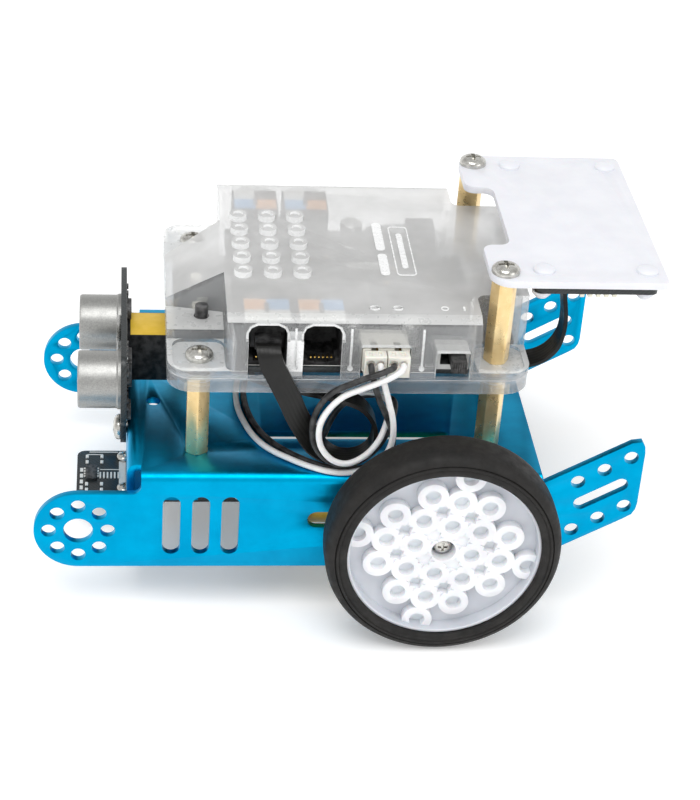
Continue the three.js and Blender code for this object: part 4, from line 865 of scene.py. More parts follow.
def hub(side_name, side):
    """The wheel hub: rim and disc in one moulding, and on it a lattice of round bosses with blind sockets."""
    axle = (AXLE_X, 0, AXLE_Z)
    profile = [(3.0, 49.4), (5, 49.4), (5, 58.4), (25.6, 58.4), (25.6, 53.2), (25.9, 52.9), (26.2, 52.9),
               (26.5, 53.2), (26.5, 64.3), (26.2, 64.6), (25.8, 64.6), (25.5, 64.3), (25.5, 60.4),
               (4, 60.4), (3.0, 59.4), (3.0, 49.4)]
    disc = lathe(profile, "Y", axle, 112)
    spots = [(a, b) for a in range(-3, 4) for b in range(-3, 4) if abs(a) + abs(b) <= 3]
    top, seat = 62.8, 60.1
    bosses = [rod(4.15, (seat, top), *lattice_spot(a, b), "XZ", 32) for a, b in spots]
    holes = [rod(2.15, (60.6, top + 1), *lattice_spot(a, b), "XZ", 24) for a, b in spots if (a, b) != (0, 0)]
    webs = []
    for a, b in [(a + 0.5, b + 0.5) for a in range(-2, 2) for b in range(-2, 2)]:
        if not all(abs(a + i) + abs(b + j) <= 3 for i in (-0.5, 0.5) for j in (-0.5, 0.5)):
            continue
        corners = [lattice_spot(a + i, b + j) for i,
                   j in ((-0.5, -0.5), (0.5, -0.5), (0.5, 0.5), (-0.5, 0.5))]
        webs.append(prism(corners, (seat, top - 0.4), "XZ"))
        deep = top - 0.7 if abs(a) + abs(b) < 1.5 else 60.6
        square = [lattice_spot(a + i, b + j) for i, j in ((-0.2, -0.2), (0.2, -0.2), (0.2, 0.2), (-0.2, 0.2))]
        holes.append(prism(square, (deep, top + 1), "XZ"))
    within = rod(25.8, (50, 70), AXLE_X, AXLE_Z, "XZ", 96)
    well = lathe([(0, 59.5), (2.9, 59.5), (3.3, 61.5), (3.3, 64), (0, 64)], "Y", axle, 32)
    grid = cut(overlap(join(bosses[0], *bosses[1:], *webs), within), *holes, well)
    parts = [dressed(grid, hub_white, 0.22, 2), dressed(disc, hub_disc, 0)]
    whole = on_side(merge(parts), side)
    return piece(side_name + "_lattice_hub", whole, side_name + "_wheel", [side_name + "_hub"])


def cross_head(radius, height, drive, axis, seat, shank):
    """A pan head screw with a cross recess. seat is the point under the head, on its axis."""
    profile = [(0, 0), (radius, 0), (radius, height * 0.3)]
    for i in range(1, 8):
        t = math.pi / 2 * i / 8
        profile.append((radius * math.cos(t) ** 0.8, height * (0.3 + 0.7 * math.sin(t))))
    profile.append((0, height))
    head = lathe(profile, "Z", (0, 0, 0), 40)
    blades = [block((-drive, drive), (-drive * 0.24, drive * 0.24), (height * 0.35, height + 1)),
              block((-drive * 0.24, drive * 0.24), (-drive, drive), (height * 0.35, height + 1))]
    radius_in, reach = shank
    shaft = [(0, -reach), (radius_in * 0.8, -reach), (radius_in, -reach + 0.5), (radius_in, 0.4), (0, 0.4)]
    head = join(cut(head, *blades), lathe(shaft, "Z", (0, 0, 0), 24))
    degrees, hinge = {"Z": (0, "X"), "Y": (-90, "X"), "-Y": (90, "X"), "X": (90, "Y")}[axis]
    turn = Matrix.Rotation(math.radians(degrees), 4, hinge)
    soften(head, 0.1, 2)
    head.data.transform(Matrix.Translation(Vector(seat) * MM) @ turn)
    return dress(head, steel)


for side_name, side in (("left", 1), ("right", -1)):
    wheel = side_name + "_wheel"
    gear_motor(side_name, side)
    tyre(side_name, side)
    hub(side_name, side)
    shaft = cut(lathe([(0, 34.5), (2.7, 34.5), (2.7, 58.1), (2.4, 58.4), (0, 58.4)], "Y",
                      (AXLE_X, 0, AXLE_Z), 40),
                block(about(AXLE_X, 4), (47, 60), (AXLE_Z + 1.85, AXLE_Z + 4)),
                block(about(AXLE_X, 4), (47, 60), (AXLE_Z - 4, AXLE_Z - 1.85)))
    on_side(dressed(shaft, socket_white, 0.12), side)
    piece(side_name + "_flatted_shaft", shaft, wheel, [side_name + "_output_shaft"])
    screw = cross_head(2.5, 1.7, 1.35, "Y" if side > 0 else "-Y", (AXLE_X, side * 59.5, AXLE_Z),
                       shank=(1.5, 0.8))
    piece(side_name + "_hub_cross_screw", screw, wheel, [side_name + "_hub_screw"])

# ---- Caster ----
BALL = 5
flange = prism(rounded((47.2, 66.5), (-11.6, 11.6), 3), (LINE_TOP - 3.6, LINE_TOP - 1.6))
cup = lathe([(0, 3.4), (6.4, 3.4), (7.3, 5.2), (7.6, 7.4), (7.6, 11), (0, 11)], "Z", (CASTER_X, 0, 0), 56)
seat = sphere(5.3, (CASTER_X, 0, BALL), 24, 48)
holes = pegs(HOLE, (8, 13), (CASTER_X,), 8)
pins = pegs(1.6, (11, 17.4), (CASTER_X - 8,), 8)
ribs = [block(about(CASTER_X, 0.6), about(s * 7, 1.2), (7, 10.2)) for s in (-1, 1)]
housing = cut(join(flange, cup, *pins, *ribs), seat, *holes)
piece("caster_cup", dressed(housing, caster_white, 0.3, 2), replaces=["caster_housing"])
ball = sphere(BALL, (CASTER_X, 0, BALL), 32, 64)
piece("caster_steel_ball", dressed(ball, steel, 0), "caster_ball", ["caster_ball"])


# ---- Fasteners and posts ----
def post(name, x, y, bottom, stud, turned=0.0):
    """A hexagonal post with a threaded stud below and a bore above. turned is in degrees."""
    across, height = 6 / math.sqrt(3), 25
    corners = arc(x, y, across, turned, turned + 360, 6)[:-1]
    hexagon = prism(corners, (bottom, bottom + height))
    chamfer = lathe([(0, 0), (across - 0.3, 0), (across + 0.01, 0.3), (across + 0.01, height - 0.3),
                     (across - 0.3, height), (0, height)], "Z", (x, y, bottom), 48)
    body = overlap(hexagon, chamfer)
    thread = [(0, -stud)]
    turns = int(stud / 0.7)
    for i in range(turns):
        z = -stud + 0.2 + i * 0.7
        thread += [(1.45, z), (1.7, z + 0.3)]
    thread += [(1.45, 0.0), (1.45, 0.5), (0, 0.5)]
    bore = rod(2.0, (bottom + height - 9, bottom + height + 1), x, y, sides=32)
    body = cut(join(body, lathe(thread, "Z", (x, y, bottom), 24)), bore)
    return piece(name + "_hex", dressed(body, brass, 0.12, 2), replaces=[name])


for side_name, side in (("left", 1), ("right", -1)):
    for place, x in (("front", POST_X[0]), ("rear", POST_X[1])):
        post(f"{side_name}_{place}_standoff", x, side * POST_Y, DECK_TOP, 5, 30 if x > 0 else 0)
    post(f"{side_name}_upper_standoff", POST_X[1], side * POST_Y, CORNER_FLOOR, 9)
    for name, spot, size in (
        ("case_screw", (POST_X[0], side * POST_Y, CORNER_FLOOR), (3.8, 2.4, 2.1, 9)),
        ("bracket_screw", (POST_X[1], side * POST_Y, PLATE_TOP), (3.8, 2.4, 2.1, 7)),
        ("caster_screw", (CASTER_X, side * 8, LINE_TOP), (2.3, 1.6, 1.25, 3.4)),
    ):
        head, height, drive, reach = size
        screw = cross_head(head, height, drive, "Z", spot, shank=(1.7, reach))
        piece(f"{side_name}_{name}_cross", screw, replaces=[f"{side_name}_{name}"])
    screw = cross_head(3.6, 2.1, 2.0, "X", (SENSOR_X + 1.6, side * 16, 40.6), shank=(1.7, 5.1))
    piece(f"{side_name}_sensor_screw_cross", screw, replaces=[f"{side_name}_sensor_screw"])
    for place, x in (("front", RIVETS_X[0]), ("rear", RIVETS_X[1])):
        low = DISPLAY_TOP - 2.6
        turned = lathe([(0, low - 1.4), (1.6, low - 1.2), (2.6, low), (2.6, low + 0.8), (1.7, low + 0.8),
                        (1.7, PLATE_TOP), (3, PLATE_TOP), (2.9, PLATE_TOP + 0.5), (2.3, PLATE_TOP + 1.0),
                        (1.1, PLATE_TOP + 1.27), (0, PLATE_TOP + 1.3)], "Z", (x, side * RIVET_Y, 0), 40)
        name = f"{side_name}_{place}_rivet"
        piece(name + "_snap", dressed(turned, plate_white, 0), replaces=[name])


# ---- Controller case ----
def case_tray():
    body = prism(rounded((CASE_REAR, CASE_FRONT), (-CASE_HALF, CASE_HALF), 7, 12), (TRAY_BOTTOM, TRAY_TOP))
    pocket = prism(rounded((CASE_REAR + 2, CASE_FRONT - 2), (-CASE_HALF + 2, CASE_HALF - 2), 5, 10),
                   (TRAY_BOTTOM + 2.4, TRAY_TOP + 1))
    body = cut(body, pocket)
    bosses = pegs(5, (TRAY_BOTTOM + 2, TRAY_TOP), POST_X, POST_Y, 40)
    rests = pegs(2.5, (TRAY_BOTTOM + 2, BOARD_BOTTOM), (26, -29), 22)
    seats = pegs(4.2, about(TRAY_BOTTOM, 1), POST_X, POST_Y, 32)
    holes = pegs(HOLE, (TRAY_BOTTOM - 1, TRAY_TOP + 1), POST_X, POST_Y)
    body = cut(join(body, *bosses, *rests), *seats, *holes)
    # The tray's rounded edges take the near-opaque white painted edge highlight.
    return piece("case_tray_clear", soften(dress(body, clear_tray, edge_highlight_white), 0.35, 3, rim=1),
                 replaces=["case_tray"])


def cover_body(inset):
    """The cover's outside, or its hollow if inset isn't 0. The sides lean in and round over into the top."""
    top = CASE_TOP - inset
    bottom = TRAY_TOP - 2 if inset else TRAY_TOP
    front, rear, half = 33 - inset, CASE_REAR + inset, CASE_HALF - inset
    shell = prism(rounded((rear, front), (-half, half), 2.5, 8), (bottom, top))
    corners = []
    for s in (-1, 1):
        recess = rounded((CASE_REAR - 2, -34.4 + inset), span(s, 26 - inset, CASE_HALF + 2), 2.6, 8)
        corners.append(prism(recess, (CORNER_FLOOR - 3, CASE_TOP + 1)))
    step = block((front - 4, CASE_FRONT - inset), (-24.5 + inset, 24.5 - inset), (bottom, BUTTON[2] - inset))
    side = [(28, bottom), (CASE_FRONT - inset, bottom), (CASE_FRONT - inset, 80.2 - inset * 1.2),
            (33 - inset * 0.5, CASE_TOP - inset), (28, CASE_TOP - inset)]
    plan = [(28, -16 + inset), (CASE_FRONT, -12 + inset), (CASE_FRONT, 12 - inset), (28, 16 - inset)]
    tongue = overlap(prism(side, (-20, 20), "XZ"), prism(plan, (bottom - 0.5, CASE_TOP + 0.5)))
    side = [(half, bottom - 1), (half - 0.4, top - 6), (half - 1.0, top - 3), (half - 1.7, top - 1.6),
            (half - 2.8, top - 0.6), (half - 4.3, top)]
    section = prism(side + [(-y, z) for y, z in reversed(side)], (CASE_REAR - 1, CASE_FRONT + 1), "YZ")
    return join(cut(overlap(shell, section), *corners), step, tongue)


def wall_notch(x, width, top, chamfer, side, inner=CASE_HALF - CASE_WALL - 3):
    """An opening in a side wall, from its foot up, with chamfered upper corners."""
    half = width / 2
    edge = [(half, TRAY_TOP - 1), (half, top - chamfer), (half - chamfer * 0.3, top - chamfer * 0.35),
            (half - chamfer, top)]
    shape = [(x + u, z) for u, z in edge] + [(x - u, z) for u, z in reversed(edge)]
    return prism(shape, span(side, inner, CASE_HALF + 1), "XZ")


RIM = CASE_HALF - 1.7
GROOVES = (14.9, 0.2, -18.9)
SIDE, FROSTED, EDGE_HIGHLIGHT, LEDGE, INSIDE = range(5)


def case_cover():
    body = join(prism(rounded((CASE_REAR, CASE_FRONT), (-CASE_HALF, CASE_HALF), 6, 12),
                      (TRAY_TOP, CORNER_FLOOR + 1)),
                cover_body(0))
    cuts = [cover_body(CASE_WALL), *pegs(HOLE, (TRAY_TOP - 1, CORNER_FLOOR + 1), POST_X, POST_Y, 32)]
    for s in (-1, 1):
        outer = CASE_HALF - CASE_WALL
        for along, inner in (((33, CASE_FRONT - CASE_WALL), 24.5), ((CASE_REAR + CASE_WALL, -34.4), 26)):
            cuts.append(prism(rounded(along, span(s, inner, outer), 3, 8),
                              (CORNER_FLOOR, CORNER_FLOOR + 1.5)))
        cuts += [wall_notch(x, 10.2, 87.6, 2.4, s) for x in JACK_X]
        cuts += [block(about(x, 6.5), span(s, 30, JACK_FRONT + 0.1), (TRAY_TOP + 1, 88.15)) for x in JACK_X]
        # a sunk rim round the top of each opening
        for x in JACK_X:
            upper = block(about(x, 7), about(0, CASE_HALF + 2), (83.5, 89))
            cuts.append(overlap(wall_notch(x, 11.6, 88.3, 2.9, s, RIM), upper))
    cuts.append(wall_notch(MOTOR_X, 13.4, 82, 0.6, 1))
    cuts.append(wall_notch(SWITCH_X, 9.2, 80.4, 0.6, 1))
    cuts.append(block((CASE_REAR - 1, CASE_REAR + 2), (-6.5, 6.5), (BOARD_TOP, 86)))
    cuts.append(rod(2.1, (BUTTON[2] - 3, BUTTON[2] + 1), BUTTON[0], BUTTON[1], sides=32))
    # moulded grooves between the sockets, with a round end
    for x in GROOVES:
        cuts.append(block(about(x, 0.3), (CASE_HALF - 1.1, CASE_HALF + 1), (75.2, 89.4)))
        cuts.append(rod(0.75, (CASE_HALF - 0.9, CASE_HALF + 1), x, 75.6, "XZ", 16))
    body = cut(body, *cuts)
    # the round studs, each with a shallow well in its top
    studs = []
    for x in (27.9, 19.9, 11.9):
        for line in range(-2, 3):
            studs.append(lathe([(0, 0), (2.45, 0), (2.45, 1.7), (1.4, 1.7), (1.3, 1.1), (0, 1.1)], "Z",
                               (x, line * PITCH, CASE_TOP - 0.01), 32))
    body = join(body, *studs)
    # The rounded edges, and in the loop below the stud sides, sunk rims and groove and notch walls, take the
    # near-opaque white painted edge highlight.
    soften(dress(body, clear, frosted, edge_highlight_white, clear_ledge, clear_inside), 0.3, 2, rim=EDGE_HIGHLIGHT)
    for face in body.data.polygons:
        x, y, z = (c / MM for c in face.center)
        in_notch = abs(face.normal.y) < 0.3 and abs(y) > JACK_FRONT + 0.2 and 72.6 < z < 88 and -33 < x < 29
        on_stud = z > CASE_TOP + 0.4 and face.normal.z < 0.5
        beside = min(abs(x - g) for g in GROOVES)
        in_groove = 38.5 < y < CASE_HALF and 74.6 < z < 89.6 and (beside < 0.4 or (beside < 0.8 and z < 76.6))
        on_rim = abs(abs(y) - RIM) < 0.05 and abs(face.normal.y) > 0.9 and z > 83
        in_notch = in_notch and face.normal.z < 0.9
        if face.material_index == EDGE_HIGHLIGHT or on_stud or on_rim or in_groove or in_notch:
            face.material_index = EDGE_HIGHLIGHT
        elif z > 84 and abs(y) > CASE_HALF - 4.4 and 0.5 < face.normal.z < 0.97:
            face.material_index = LEDGE
        elif face.normal.z > 0.5 and z > CORNER_FLOOR - 0.3:
            face.material_index = FROSTED if z > 78 else LEDGE
        elif face.normal.z < -0.5:
            face.material_index = INSIDE
        else:
            face.material_index = SIDE
    return piece("case_cover_clear", body, replaces=["case_cover"])


case_tray()
case_cover()

# Raised marks on the cover: a plain frame with two bars, and symbols by the sockets and the switch.
def raised_frame(u0, u1, v0, v1, line, z):
    outer = prism(rounded((u0, u1), (v0, v1), 1.2), z)
    return cut(outer, prism(rounded((u0 + line, u1 - line), (v0 + line, v1 - line), 0.9),
                            (z[0] - 1, z[1] + 1)))


mark_z = (CASE_TOP - 0.02, CASE_TOP + 0.28)
marks = [raised_frame(-19.5, -14.0, -12, 16, 0.4, mark_z),
         prism(rounded((-17.6, -15.9), (-8, 12), 0.8), mark_z),
         prism(rounded((-12.2, -9.6), (-14, 2), 1.2), mark_z),
         prism(rounded((-12.2, -9.6), (4, 16), 1.2), mark_z)]
marks += [raised_frame(x - 1.4, x + 1.4, 32.6, 34.8, 0.35, mark_z) for x in about(MOTOR_X, 3.1)]
marks.append(cut(rod(1.1, mark_z, SWITCH_X + 2.6, 33.7, sides=24),
                 rod(0.75, (89, 91), SWITCH_X + 2.6, 33.7, sides=24)))
marks.append(prism(rounded((SWITCH_X - 2.9, SWITCH_X - 2.3), (32.6, 34.8), 0.25), mark_z))
# The raised marks are drawn in the near-opaque white of the painted edge highlight.
marks = [dressed(m, edge_highlight_white, 0.08, 1) for m in marks]
piece("cover_raised_marks", merge(marks))


# ---- Controller board ----
def controller():
    """The main board with the motor socket, switch, button's base, data port and small parts."""
    half = 38.6
    outline = [(-32, -half), (30.5, -half), (30.5, -22), (46, -22), (46, 22), (30.5, 22), (30.5, half),
               (-32, half), (-32, 23.5), (-46.6, 23.5), (-46.6, -23.5), (-32, -23.5)]
    holes = [rod(1.6, (72, 76), x, -35.2, sides=20) for x in (-28, 27)]
    parts = [dressed(cut(prism(outline, (BOARD_BOTTOM, BOARD_TOP)), *holes), solder_mask, 0.1)]
    top = BOARD_TOP
    socket = cut(block(about(MOTOR_X, 6.3), (30, 40.4), (top - 0.1, 81.4)),
                 *[block(about(MOTOR_X + c, 2.6), (34, 41), (75.6, 80.6)) for c in (-3.1, 3.1)],
                 *[block(about(MOTOR_X + c, 0.9), (36, 41), (80, 82)) for c in (-3.1, 3.1)])
    parts.append(dressed(socket, socket_white, 0.25))
    parts += chips([(about(x, 0.3), (33, 38), (78.7, 79.3)) for x in (-13.4, -10.9, -7.3, -4.8)], gold, 0.05)
    body = cut(block(about(SWITCH_X, 4.4), (33, 39), (top - 0.1, 80.2)),
               block(about(SWITCH_X, 3.4), (34.6, 40), (76, 79.4)),
               *[block(about(SWITCH_X + c, 0.6), (34, 37.5), (79.9, 81)) for c in (-2.8, 0, 2.8)])
    parts.append(dressed(body, switch_grey, 0.15))
    parts += chips([(about(SWITCH_X, 3.3), (34.7, 35.0), (76.1, 79.3)),
                    (about(SWITCH_X, 3.3), (34.7, 38.9), (76.05, 76.3))], contact_black, 0.05)
    parts.append(dressed(block(about(BUTTON[0], 3), about(BUTTON[1], 3), (top - 0.1, 75.6)), chip, 0.2))
    usb = cut(block((-47.1, -34), (-6, 6), (top - 0.1, 85.6)), block((-48, -40), (-4.2, 4.2), (77.4, 84.4)))
    parts.append(dressed(usb, tin, 0.4, 3))
    parts.append(dressed(block((-45.4, -40), (-3.2, 3.2), (80, 82)), socket_white, 0.2))
    # main packages, electrolytics, crystal, sounder and small parts
    packages = [(-8, 6, -7, 7, 1.2), (-24, -17, -8, -1, 1.2), (12, 18, 14, 20, 1), (-16, -10, 15, 21, 1.6),
                (16, 23, -18, -12, 1.4), (-28, -20, 10, 20, 4.2), (-30, -22, -32, -24, 8),
                (-18, -11, -34, -27, 4)]
    parts += chips(standing(top, packages), chip)
    for x, y, r, h in ((-17, 26, 3.2, 7.4), (-2, 24, 2.5, 5.6), (-6, -30, 3.2, 7.4)):
        profile = [(0, 0), (r, 0), (r, 0.5), (r - 0.3, 0.9), (r, 1.3), (r, h - 0.3), (r - 0.3, h), (0, h)]
        parts.append(dressed(lathe(profile, "Z", (x, y, top), 32), tin, 0))
    sounder = [(0, 0), (5.8, 0), (5.8, 6.6), (5.3, 7.2), (1.3, 7.2), (1.2, 6.6), (0, 6.6)]
    parts.append(dressed(lathe(sounder, "Z", (14, 0, top), 40), black, 0))
    crystal = prism(rounded((-14, -3), (-13.6, -9.4), 2.1), (top, top + 3.4))
    parts.append(dressed(crystal, tin, 0.3))
    spread = random.Random(7)
    small = []
    for _ in range(70):
        x, y = spread.uniform(-29, 27), spread.uniform(-23, 22)
        if spread.random() < 0.5:
            small.append((about(x, 0.8), about(y, 0.4), (top, top + 0.5)))
        else:
            small.append((about(x, 0.4), about(y, 0.8), (top, top + 0.5)))
    parts += chips(small[:35], resistor, 0.05) + chips(small[35:], ceramic, 0.05)
    parts += chips([((38, 41), about(s * 8, 1.5), (top, top + 1.4)) for s in (-1, 1)], led_clear, 0.2)
    pins = [((x, x + 0.6), ys, (top, top + 6)) for x in (24.6, 26.6) for ys in row(6, -31.3, 1.6, 0.6)]
    parts += chips(pins, gold, 0.05)
    lines = [(-9, -8.6, -8, 8, INK), (6.6, 7, -8, 8, INK), (-30, 28, 37.6, 37.9, INK),
             (-30, 28, -37.9, -37.6, INK), (33, 45, -21, -20.7, INK)]
    parts += print_marks(standing(top, lines), ink_white)
    return piece("controller_board", merge(parts), replaces=["main_board"])


def socket_contacts(x, side):
    """Six contacts in a socket: their gilt feet by the mouth, and two rows of pale ends on the back wall."""
    gilt, pale_ends = [], []
    for i in range(6):
        u = x - 2.75 + i * 1.1
        gilt.append((about(u, 0.22), span(side, 36.2, 37.4), (76.75, 77.15)))
        for z in (82.6, 84.3):
            pale_ends.append((about(u, 0.22), span(side, 26.8, 27.3), (z, z + 0.8)))
    return chips(gilt, gold, 0.05) + chips(pale_ends, switch_grey, 0.05)


def side_jack(name, x, side):
    ys = span(side, 25, JACK_FRONT)
    mouth_ys = span(side, 27, JACK_FRONT + 1)
    keys = [block(about(x, 1.8), mouth_ys, (75.4, 77)), block(about(x, 3.6), mouth_ys, (75.9, 77))]
    shell = cut(block(about(x, 6.4), ys, (BOARD_TOP, 87.9)), block(about(x, 4.9), mouth_ys, (76.9, 86.4)),
                *keys)
    parts = [dressed(shell, contact_black, 0.3), *socket_contacts(x, side)]
    return piece(name + "_socket", merge(parts), replaces=[name])


controller()
for side_name, side in (("left", 1), ("right", -1)):
    side_jack(side_name + "_front_jack", JACK_X[0], side)
    side_jack(side_name + "_rear_jack", JACK_X[1], side)


# Coloured port marks on top of the sockets, under the cover
def port_marks():
    z = (87.92, 88.06)
    parts = []
    for side in (1, -1):
        for x in JACK_X:
            first, second = (ink_orange, ink_blue) if side > 0 else (ink_blue, ink_orange)
            for start, ink in ((x, first), (x - 6, second)):
                outer = ink_brown if side < 0 and ink is ink_orange else ink_white
                parts += print_marks([((start, start + 6), span(side, 26, 31.6), z)], ink)
                parts += print_marks([((start, start + 6), span(side, 31.6, 37.2), z)], outer)
            parts += print_marks([(about(x, 0.6), span(side, 28, 33), (88.06, 88.12))], ink_grey)
    return piece("port_marks", merge(parts))


port_marks()

# ---- Switch, button, battery pack ----
knob_x = SWITCH_X - 1.3
knob = block(about(knob_x, 2), (35, 43.4), (75.9, 79.1))
knob = cut(knob, *[block(xs, (42.9, 44), (75, 80)) for xs in row(6, knob_x - 1.55, 0.62, 0.15)],
           block(about(knob_x, 3), (43.2, 44), (77.3, 77.7)))
piece("ribbed_switch_knob", dressed(knob, knob_grey, 0.1), "power_switch", ["switch_knob"])
cap = lathe([(0, 76.1), (1.6, 76.1), (1.6, 78.0), (1.8, 78.1), (1.8, 80.6), (1.7, 80.85), (1.45, 81.0),
             (0, 81.0)], "Z",
            (BUTTON[0], BUTTON[1], 0), 40)
piece("round_button_cap", dressed(cap, black, 0), "push_button", ["button_cap"])


def battery():
    parts = []
    for i in range(4):
        x0 = -34 + i * 12
        body = prism(rounded((x0 + 0.1, x0 + 11.9), (61.0, 68.0), 3.2, 10), (-15.5, 15.5), "XZ")
        parts.append(dressed(body, pack_blue, 0.4, 3))
        for s in (-1, 1):
            ends = span(s, 15.3, 16.9)
            cap = prism(rounded((x0 + 0.9, x0 + 11.1), (61.5, 67.5), 2.8, 8), ends, "XZ")
            parts.append(dressed(cap, chip, 0.3))
    return piece("battery_cells", merge(parts), replaces=["battery_pack"])


battery()


# ---- Distance sensor ----
def sensor():
    across = (SENSOR_X, SENSOR_X + 1.6)
    front = across[1]
    wide = prism(rounded((-28, 28), (47, 68.8), 4, 10), across, "YZ")
    tab = prism(rounded((-20, 20), (36.8, 50), 2.5, 8), across, "YZ")
    holes = [rod(HOLE, (SENSOR_X - 1, SENSOR_X + 3), y, 40.6, "YZ", 24) for y in (-16, 16)]
    parts = [dressed(cut(join(wide, tab), *holes), solder_mask, 0.12)]
    rear = SENSOR_X
    small = [((rear - 0.5, rear), about(y, 0.8), about(z, 0.4)) for y, z in
             ((22, 64), (22, 61.6), (22, 59.2), (19, 66), (16, 66), (13, 66), (25, 55), (25, 52.6), (-22, 64),
              (-22, 61), (-19, 66), (-15, 66), (-25, 55), (10.5, 50), (13, 50), (-11, 50), (18, 52),
              (-18, 52))]
    parts += chips(small, resistor, 0.05)
    parts += chips([((rear - 1.4, rear), (10, 18), (55, 63)), ((rear - 1.4, rear), (-19, -10), (56, 62)),
                    ((rear - 1.2, rear), (20, 25), (48.8, 52.4))], chip)
    parts += chips([((rear - 0.3, rear), ys, (63, 64.2)) for ys in row(8, 9.2, 1.1, 0.5)], tin, 0.03)
    parts += chips([((rear - 1.2, rear), (-6, -2), (64.8, 67.6))], resistor, 0.1)
    parts += chips([((front, front + 1.2), (-2.4, 2.4), (60, 66))], tin, 0.2)
    marks = [((front, front + 0.04), (-26, 26), (47.9, 48.1)), ((front, front + 0.04), (-6, 6), (37.4, 37.7)),
             ((rear - 0.04, rear), (-26, 26), (67.6, 67.9)), ((rear - 0.04, rear), (-8, 8), (38.4, 39.4)),
             ((rear - 0.04, rear), (8, 20), (48, 48.3))]
    parts += print_marks(marks, ink_white)
    return piece("sensor_circuit", merge(parts), replaces=["sensor_board"])


def sound_can(side_name, side):
    start = SENSOR_X + 1.6
    centre = (start, side * CAN_Y, CAN_Z)
    shell = lathe([(0, 0), (8.3, 0), (8.3, 0.8), (8.05, 1.1), (8.0, 1.4), (8.0, 11.1), (7.85, 11.6),
                   (7.5, 11.8), (6.9, 11.8), (6.6, 11.5), (6.5, 10.6), (0, 10.6)], "X", centre, 96)
    parts = [dressed(shell, can_metal, 0)]
    wires = []
    for k in range(-8, 9):
        offset = k * 0.75
        reach = math.sqrt(max(6.4 ** 2 - offset ** 2, 0.01))
        wires.append(((start + 10.7, start + 10.95), about(side * CAN_Y + offset, 0.11),
                      about(CAN_Z, reach)))
        wires.append(((start + 10.75, start + 11.0), about(side * CAN_Y, reach),
                      about(CAN_Z + offset, 0.11)))
    parts += chips(wires, mesh_metal, 0.04)
    return piece(side_name + "_sound_cup", merge(parts),
                 replaces=[side_name + "_sound_can"])


def sensor_jack():
    outer, mouth = ((41.6, SENSOR_X), (-6.5, 6.5), (50, 64.6)), ((40, 54), (-4.9, 4.9), (52, 62.4))
    shell = dressed(cut(block(*outer), block(*mouth), block((40, 55), (-3.6, 3.6), (51, 53))),
                    contact_black, 0.3)
    label = dressed(block((42.6, 57.8), (-6.0, 6.0), (64.55, 64.68)), label_yellow, 0.1)
    springs = chips([((42.5, 53), ys, (61.8, 62.1)) for ys in row(6, -2.95, 1.1, 0.4)], gold, 0.05)
    return piece("sensor_socket", merge([shell, label, *springs]),
                 replaces=["sensor_jack"])


sensor()
sound_can("left", 1)
sound_can("right", -1)
sensor_jack()


# ---- Line sensor ----
def line_sensor():
    bottom = LINE_TOP - 1.6
    outline = [(23, -9.5), *arc(25.5, -9.5, 2.5, 180, 270, 6), *arc(70.4, -9.5, 2.5, -90, 0, 6),
               (72.9, 8.5), (69.4, 12), *arc(25.5, 9.5, 2.5, 90, 180, 6)]
    holes = pegs(HOLE, (bottom - 1, LINE_TOP + 1), (CASTER_X, CASTER_X - 8), 8)
    parts = [dressed(cut(prism(outline, (bottom, LINE_TOP)), *holes), solder_mask, 0.1)]
    jack = cut(block((23.6, 36.6), (-7.2, 7.2), (LINE_TOP, 30.6)), block((25, 35.2), (-5.2, 5.2), (21, 31.6)))
    parts.append(dressed(jack, contact_black, 0.3))
    parts += chips([((66.5, 70.5), about(y, 2), (bottom - 2.4, bottom)) for y in (-6, 6)], black, 0.3)
    top = LINE_TOP
    parts += chips([((67.1, 70.3), (-3.2, 3.4), (top, top + 1))], chip)
    legs = [(xs, (-0.4, 2.6), (top, top + 0.3)) for xs in row(6, 60.6, 1.05, 0.5)]
    legs += [((x, x + 0.5), ys, (top, top + 0.3)) for x in (66.5, 70.4) for ys in row(4, -2.6, 1.3, 0.6)]
    parts += chips(legs, ink_white, 0.03)
    dots = [(about(x, 0.45), about(y, 0.7), (top, top + 0.5)) for x in (70.0, 65.7)
            for y in (-8.4, -5.6, 5.7, 8.6)]
    parts += chips(dots, ink_white, 0.1)
    ink = (top, top + 0.05)
    marks = [((58.7, 60.7), (-11.4, 11.4), ink)]
    marks += [((65.4, 70), (y, y + 0.35), ink) for y in (-10.0, 10.6)]
    marks += [((61.0, 69.4), (-11.4, -10.95), ink), ((60.6, 66.2), (-2.2, -1.85), ink)]
    marks += [((71.1, 72.0), ys, ink) for ys in row(4, -2.8, 3, 1.9)]
    parts += print_marks(marks, ink_white)
    return piece("line_sensor_circuit", merge(parts), replaces=["line_board"])


line_sensor()


# ---- Rear display ----
def bracket_outline():
    """The display plate from above: square at the rear, with two ears round the posts in front."""
    ear, edge, half, inner = -36.2, -44, 37.2, 17
    side = [(PLATE_REAR + 2, -half), *arc(ear - 6, -half + 6, 6, -90, 0, 10),
            *arc(ear - 3, -inner - 3, 3, 0, 90, 8), *arc(edge + 3, -inner + 3, 3, -90, -180, 6)]
    mirror = [(x, -y) for x, y in reversed(side)]
    return [*arc(PLATE_REAR + 2, -half + 2, 2, 180, 270, 5)[:-1], *side, *mirror,
            *arc(PLATE_REAR + 2, half - 2, 2, 90, 180, 5)[1:]]


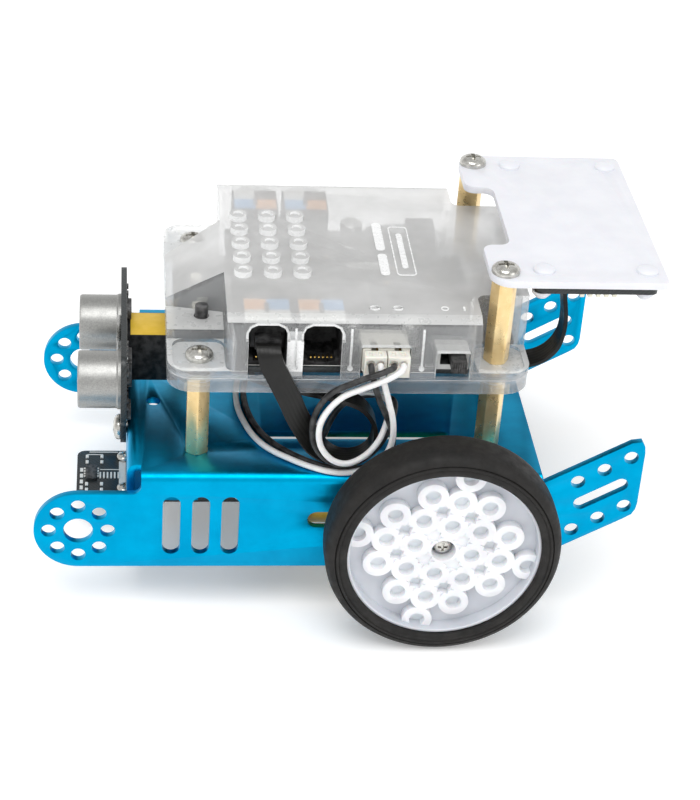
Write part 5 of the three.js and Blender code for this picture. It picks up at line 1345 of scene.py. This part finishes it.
def display():
    plate = prism(bracket_outline(), (PLATE_BOTTOM, PLATE_TOP))
    through = (PLATE_BOTTOM - 1, PLATE_TOP + 1)
    holes = pegs(HOLE, through, POST_X[1:], POST_Y, 32) + pegs(HOLE, through, RIVETS_X, RIVET_Y, 32)
    piece("display_plate", dressed(cut(plate, *holes), plate_white, 0.3, 3),
          replaces=["display_bracket"])
    bottom = DISPLAY_TOP - 1.6
    board = prism(rounded((-82, -48.6), (-33.6, 33.6), 2, 8), (bottom, DISPLAY_TOP))
    holes = pegs(HOLE, (bottom - 1, PLATE_BOTTOM), RIVETS_X, RIVET_Y)
    parts = [dressed(cut(board, *holes), solder_mask, 0.12)]
    matrix = dressed(block((-72.8, -56.8), (-26, 26), (DISPLAY_TOP, PLATE_BOTTOM - 0.2)), chip, 0.2)
    parts.append(matrix)
    jack = cut(block((-72, -59), (-12.6, 0.6), (78.5, bottom)),
               block((-70.6, -60.4), (-11.2, -0.8), (77.5, 88.4)))
    parts.append(dressed(jack, contact_black, 0.3))
    parts += chips([((-57, -51), (8, 20), (bottom - 1.4, bottom)),
                    ((-58, -50), (-30, -20), (bottom - 2, bottom)),
                    ((-80, -74), (4, 16), (bottom - 1.2, bottom))], chip)
    spread = random.Random(3)
    small = []
    for _ in range(26):
        x, y = spread.uniform(-80, -51), spread.choice((-1, 1)) * spread.uniform(3, 31)
        if -74 < x < -57 and -15 < y < 3:
            continue
        small.append((about(x, 0.8), about(y, 0.4), (bottom - 0.5, bottom)))
    parts += chips(small, ceramic, 0.05)
    parts += chips([(xs, (31.4, 33.2), (bottom - 1.1, bottom)) for xs in row(5, -62, -2.2, 1.2)], led_clear,
                   0.1)
    parts += print_marks([((-80, -50), (-32, -31.7), (bottom - 0.05, bottom)),
                          ((-80, -50), (27, 27.3), (bottom - 0.05, bottom))], ink_white)
    piece("display_circuit", merge(parts), replaces=["display_board"])


display()

# ---- Floor, light ----
floor = bpy.data.objects.new("floor", bpy.data.meshes.new("floor"))
floor.data.from_pydata([(-4, -6, 0), (4, -6, 0), (4, 3, 0), (-4, 3, 0)], [], [(0, 1, 2, 3)])
bpy.context.collection.objects.link(floor)
pale = Look("pale_floor")
pale.colour((0.95, 0.95, 0.95), (0.96, 0.96, 0.96), 3)
pale.set(Roughness=0.9, Specular_IOR_Level=0.1, Emission_Color=(1, 1, 1, 1), Emission_Strength=0.2)
floor.data.materials.append(pale.material)

world = bpy.data.worlds.new("world")
bpy.context.scene.world = world
world.use_nodes = True
sky = world.node_tree
background = sky.nodes["Background"]
height = sky.nodes.new("ShaderNodeSeparateXYZ")
shades = sky.nodes.new("ShaderNodeValToRGB")
sky.links.new(sky.nodes.new("ShaderNodeTexCoord").outputs["Generated"], height.inputs[0])
sky.links.new(height.outputs[2], shades.inputs[0])
sky.links.new(shades.outputs[0], background.inputs[0])
set_stops(shades.color_ramp, [(at, [grey] * 3) for at, grey in ((0, 1), (0.4, 0.95), (0.6, 0.72), (1, 0.72))])
background.inputs[1].default_value = 1.0


def softbox(name, spot, aim, size, power):
    lamp = bpy.data.lights.new(name, "AREA")
    lamp.shape = "RECTANGLE"
    lamp.size, lamp.size_y = size
    lamp.energy = power
    ob = bpy.data.objects.new(name, lamp)
    ob.location = spot
    ob.rotation_euler = (Vector(aim) - Vector(spot)).to_track_quat("-Z", "Y").to_euler()
    bpy.context.collection.objects.link(ob)


softbox("key", (0.3, 0.95, 2.4), (0, 0, 0.05), (1.7, 1.7), 32)
softbox("fill", (-0.7, 0.6, 0.5), (0, 0, 0.05), (0.6, 0.6), 1.2)

bpy.context.scene.view_settings.view_transform = "Standard"
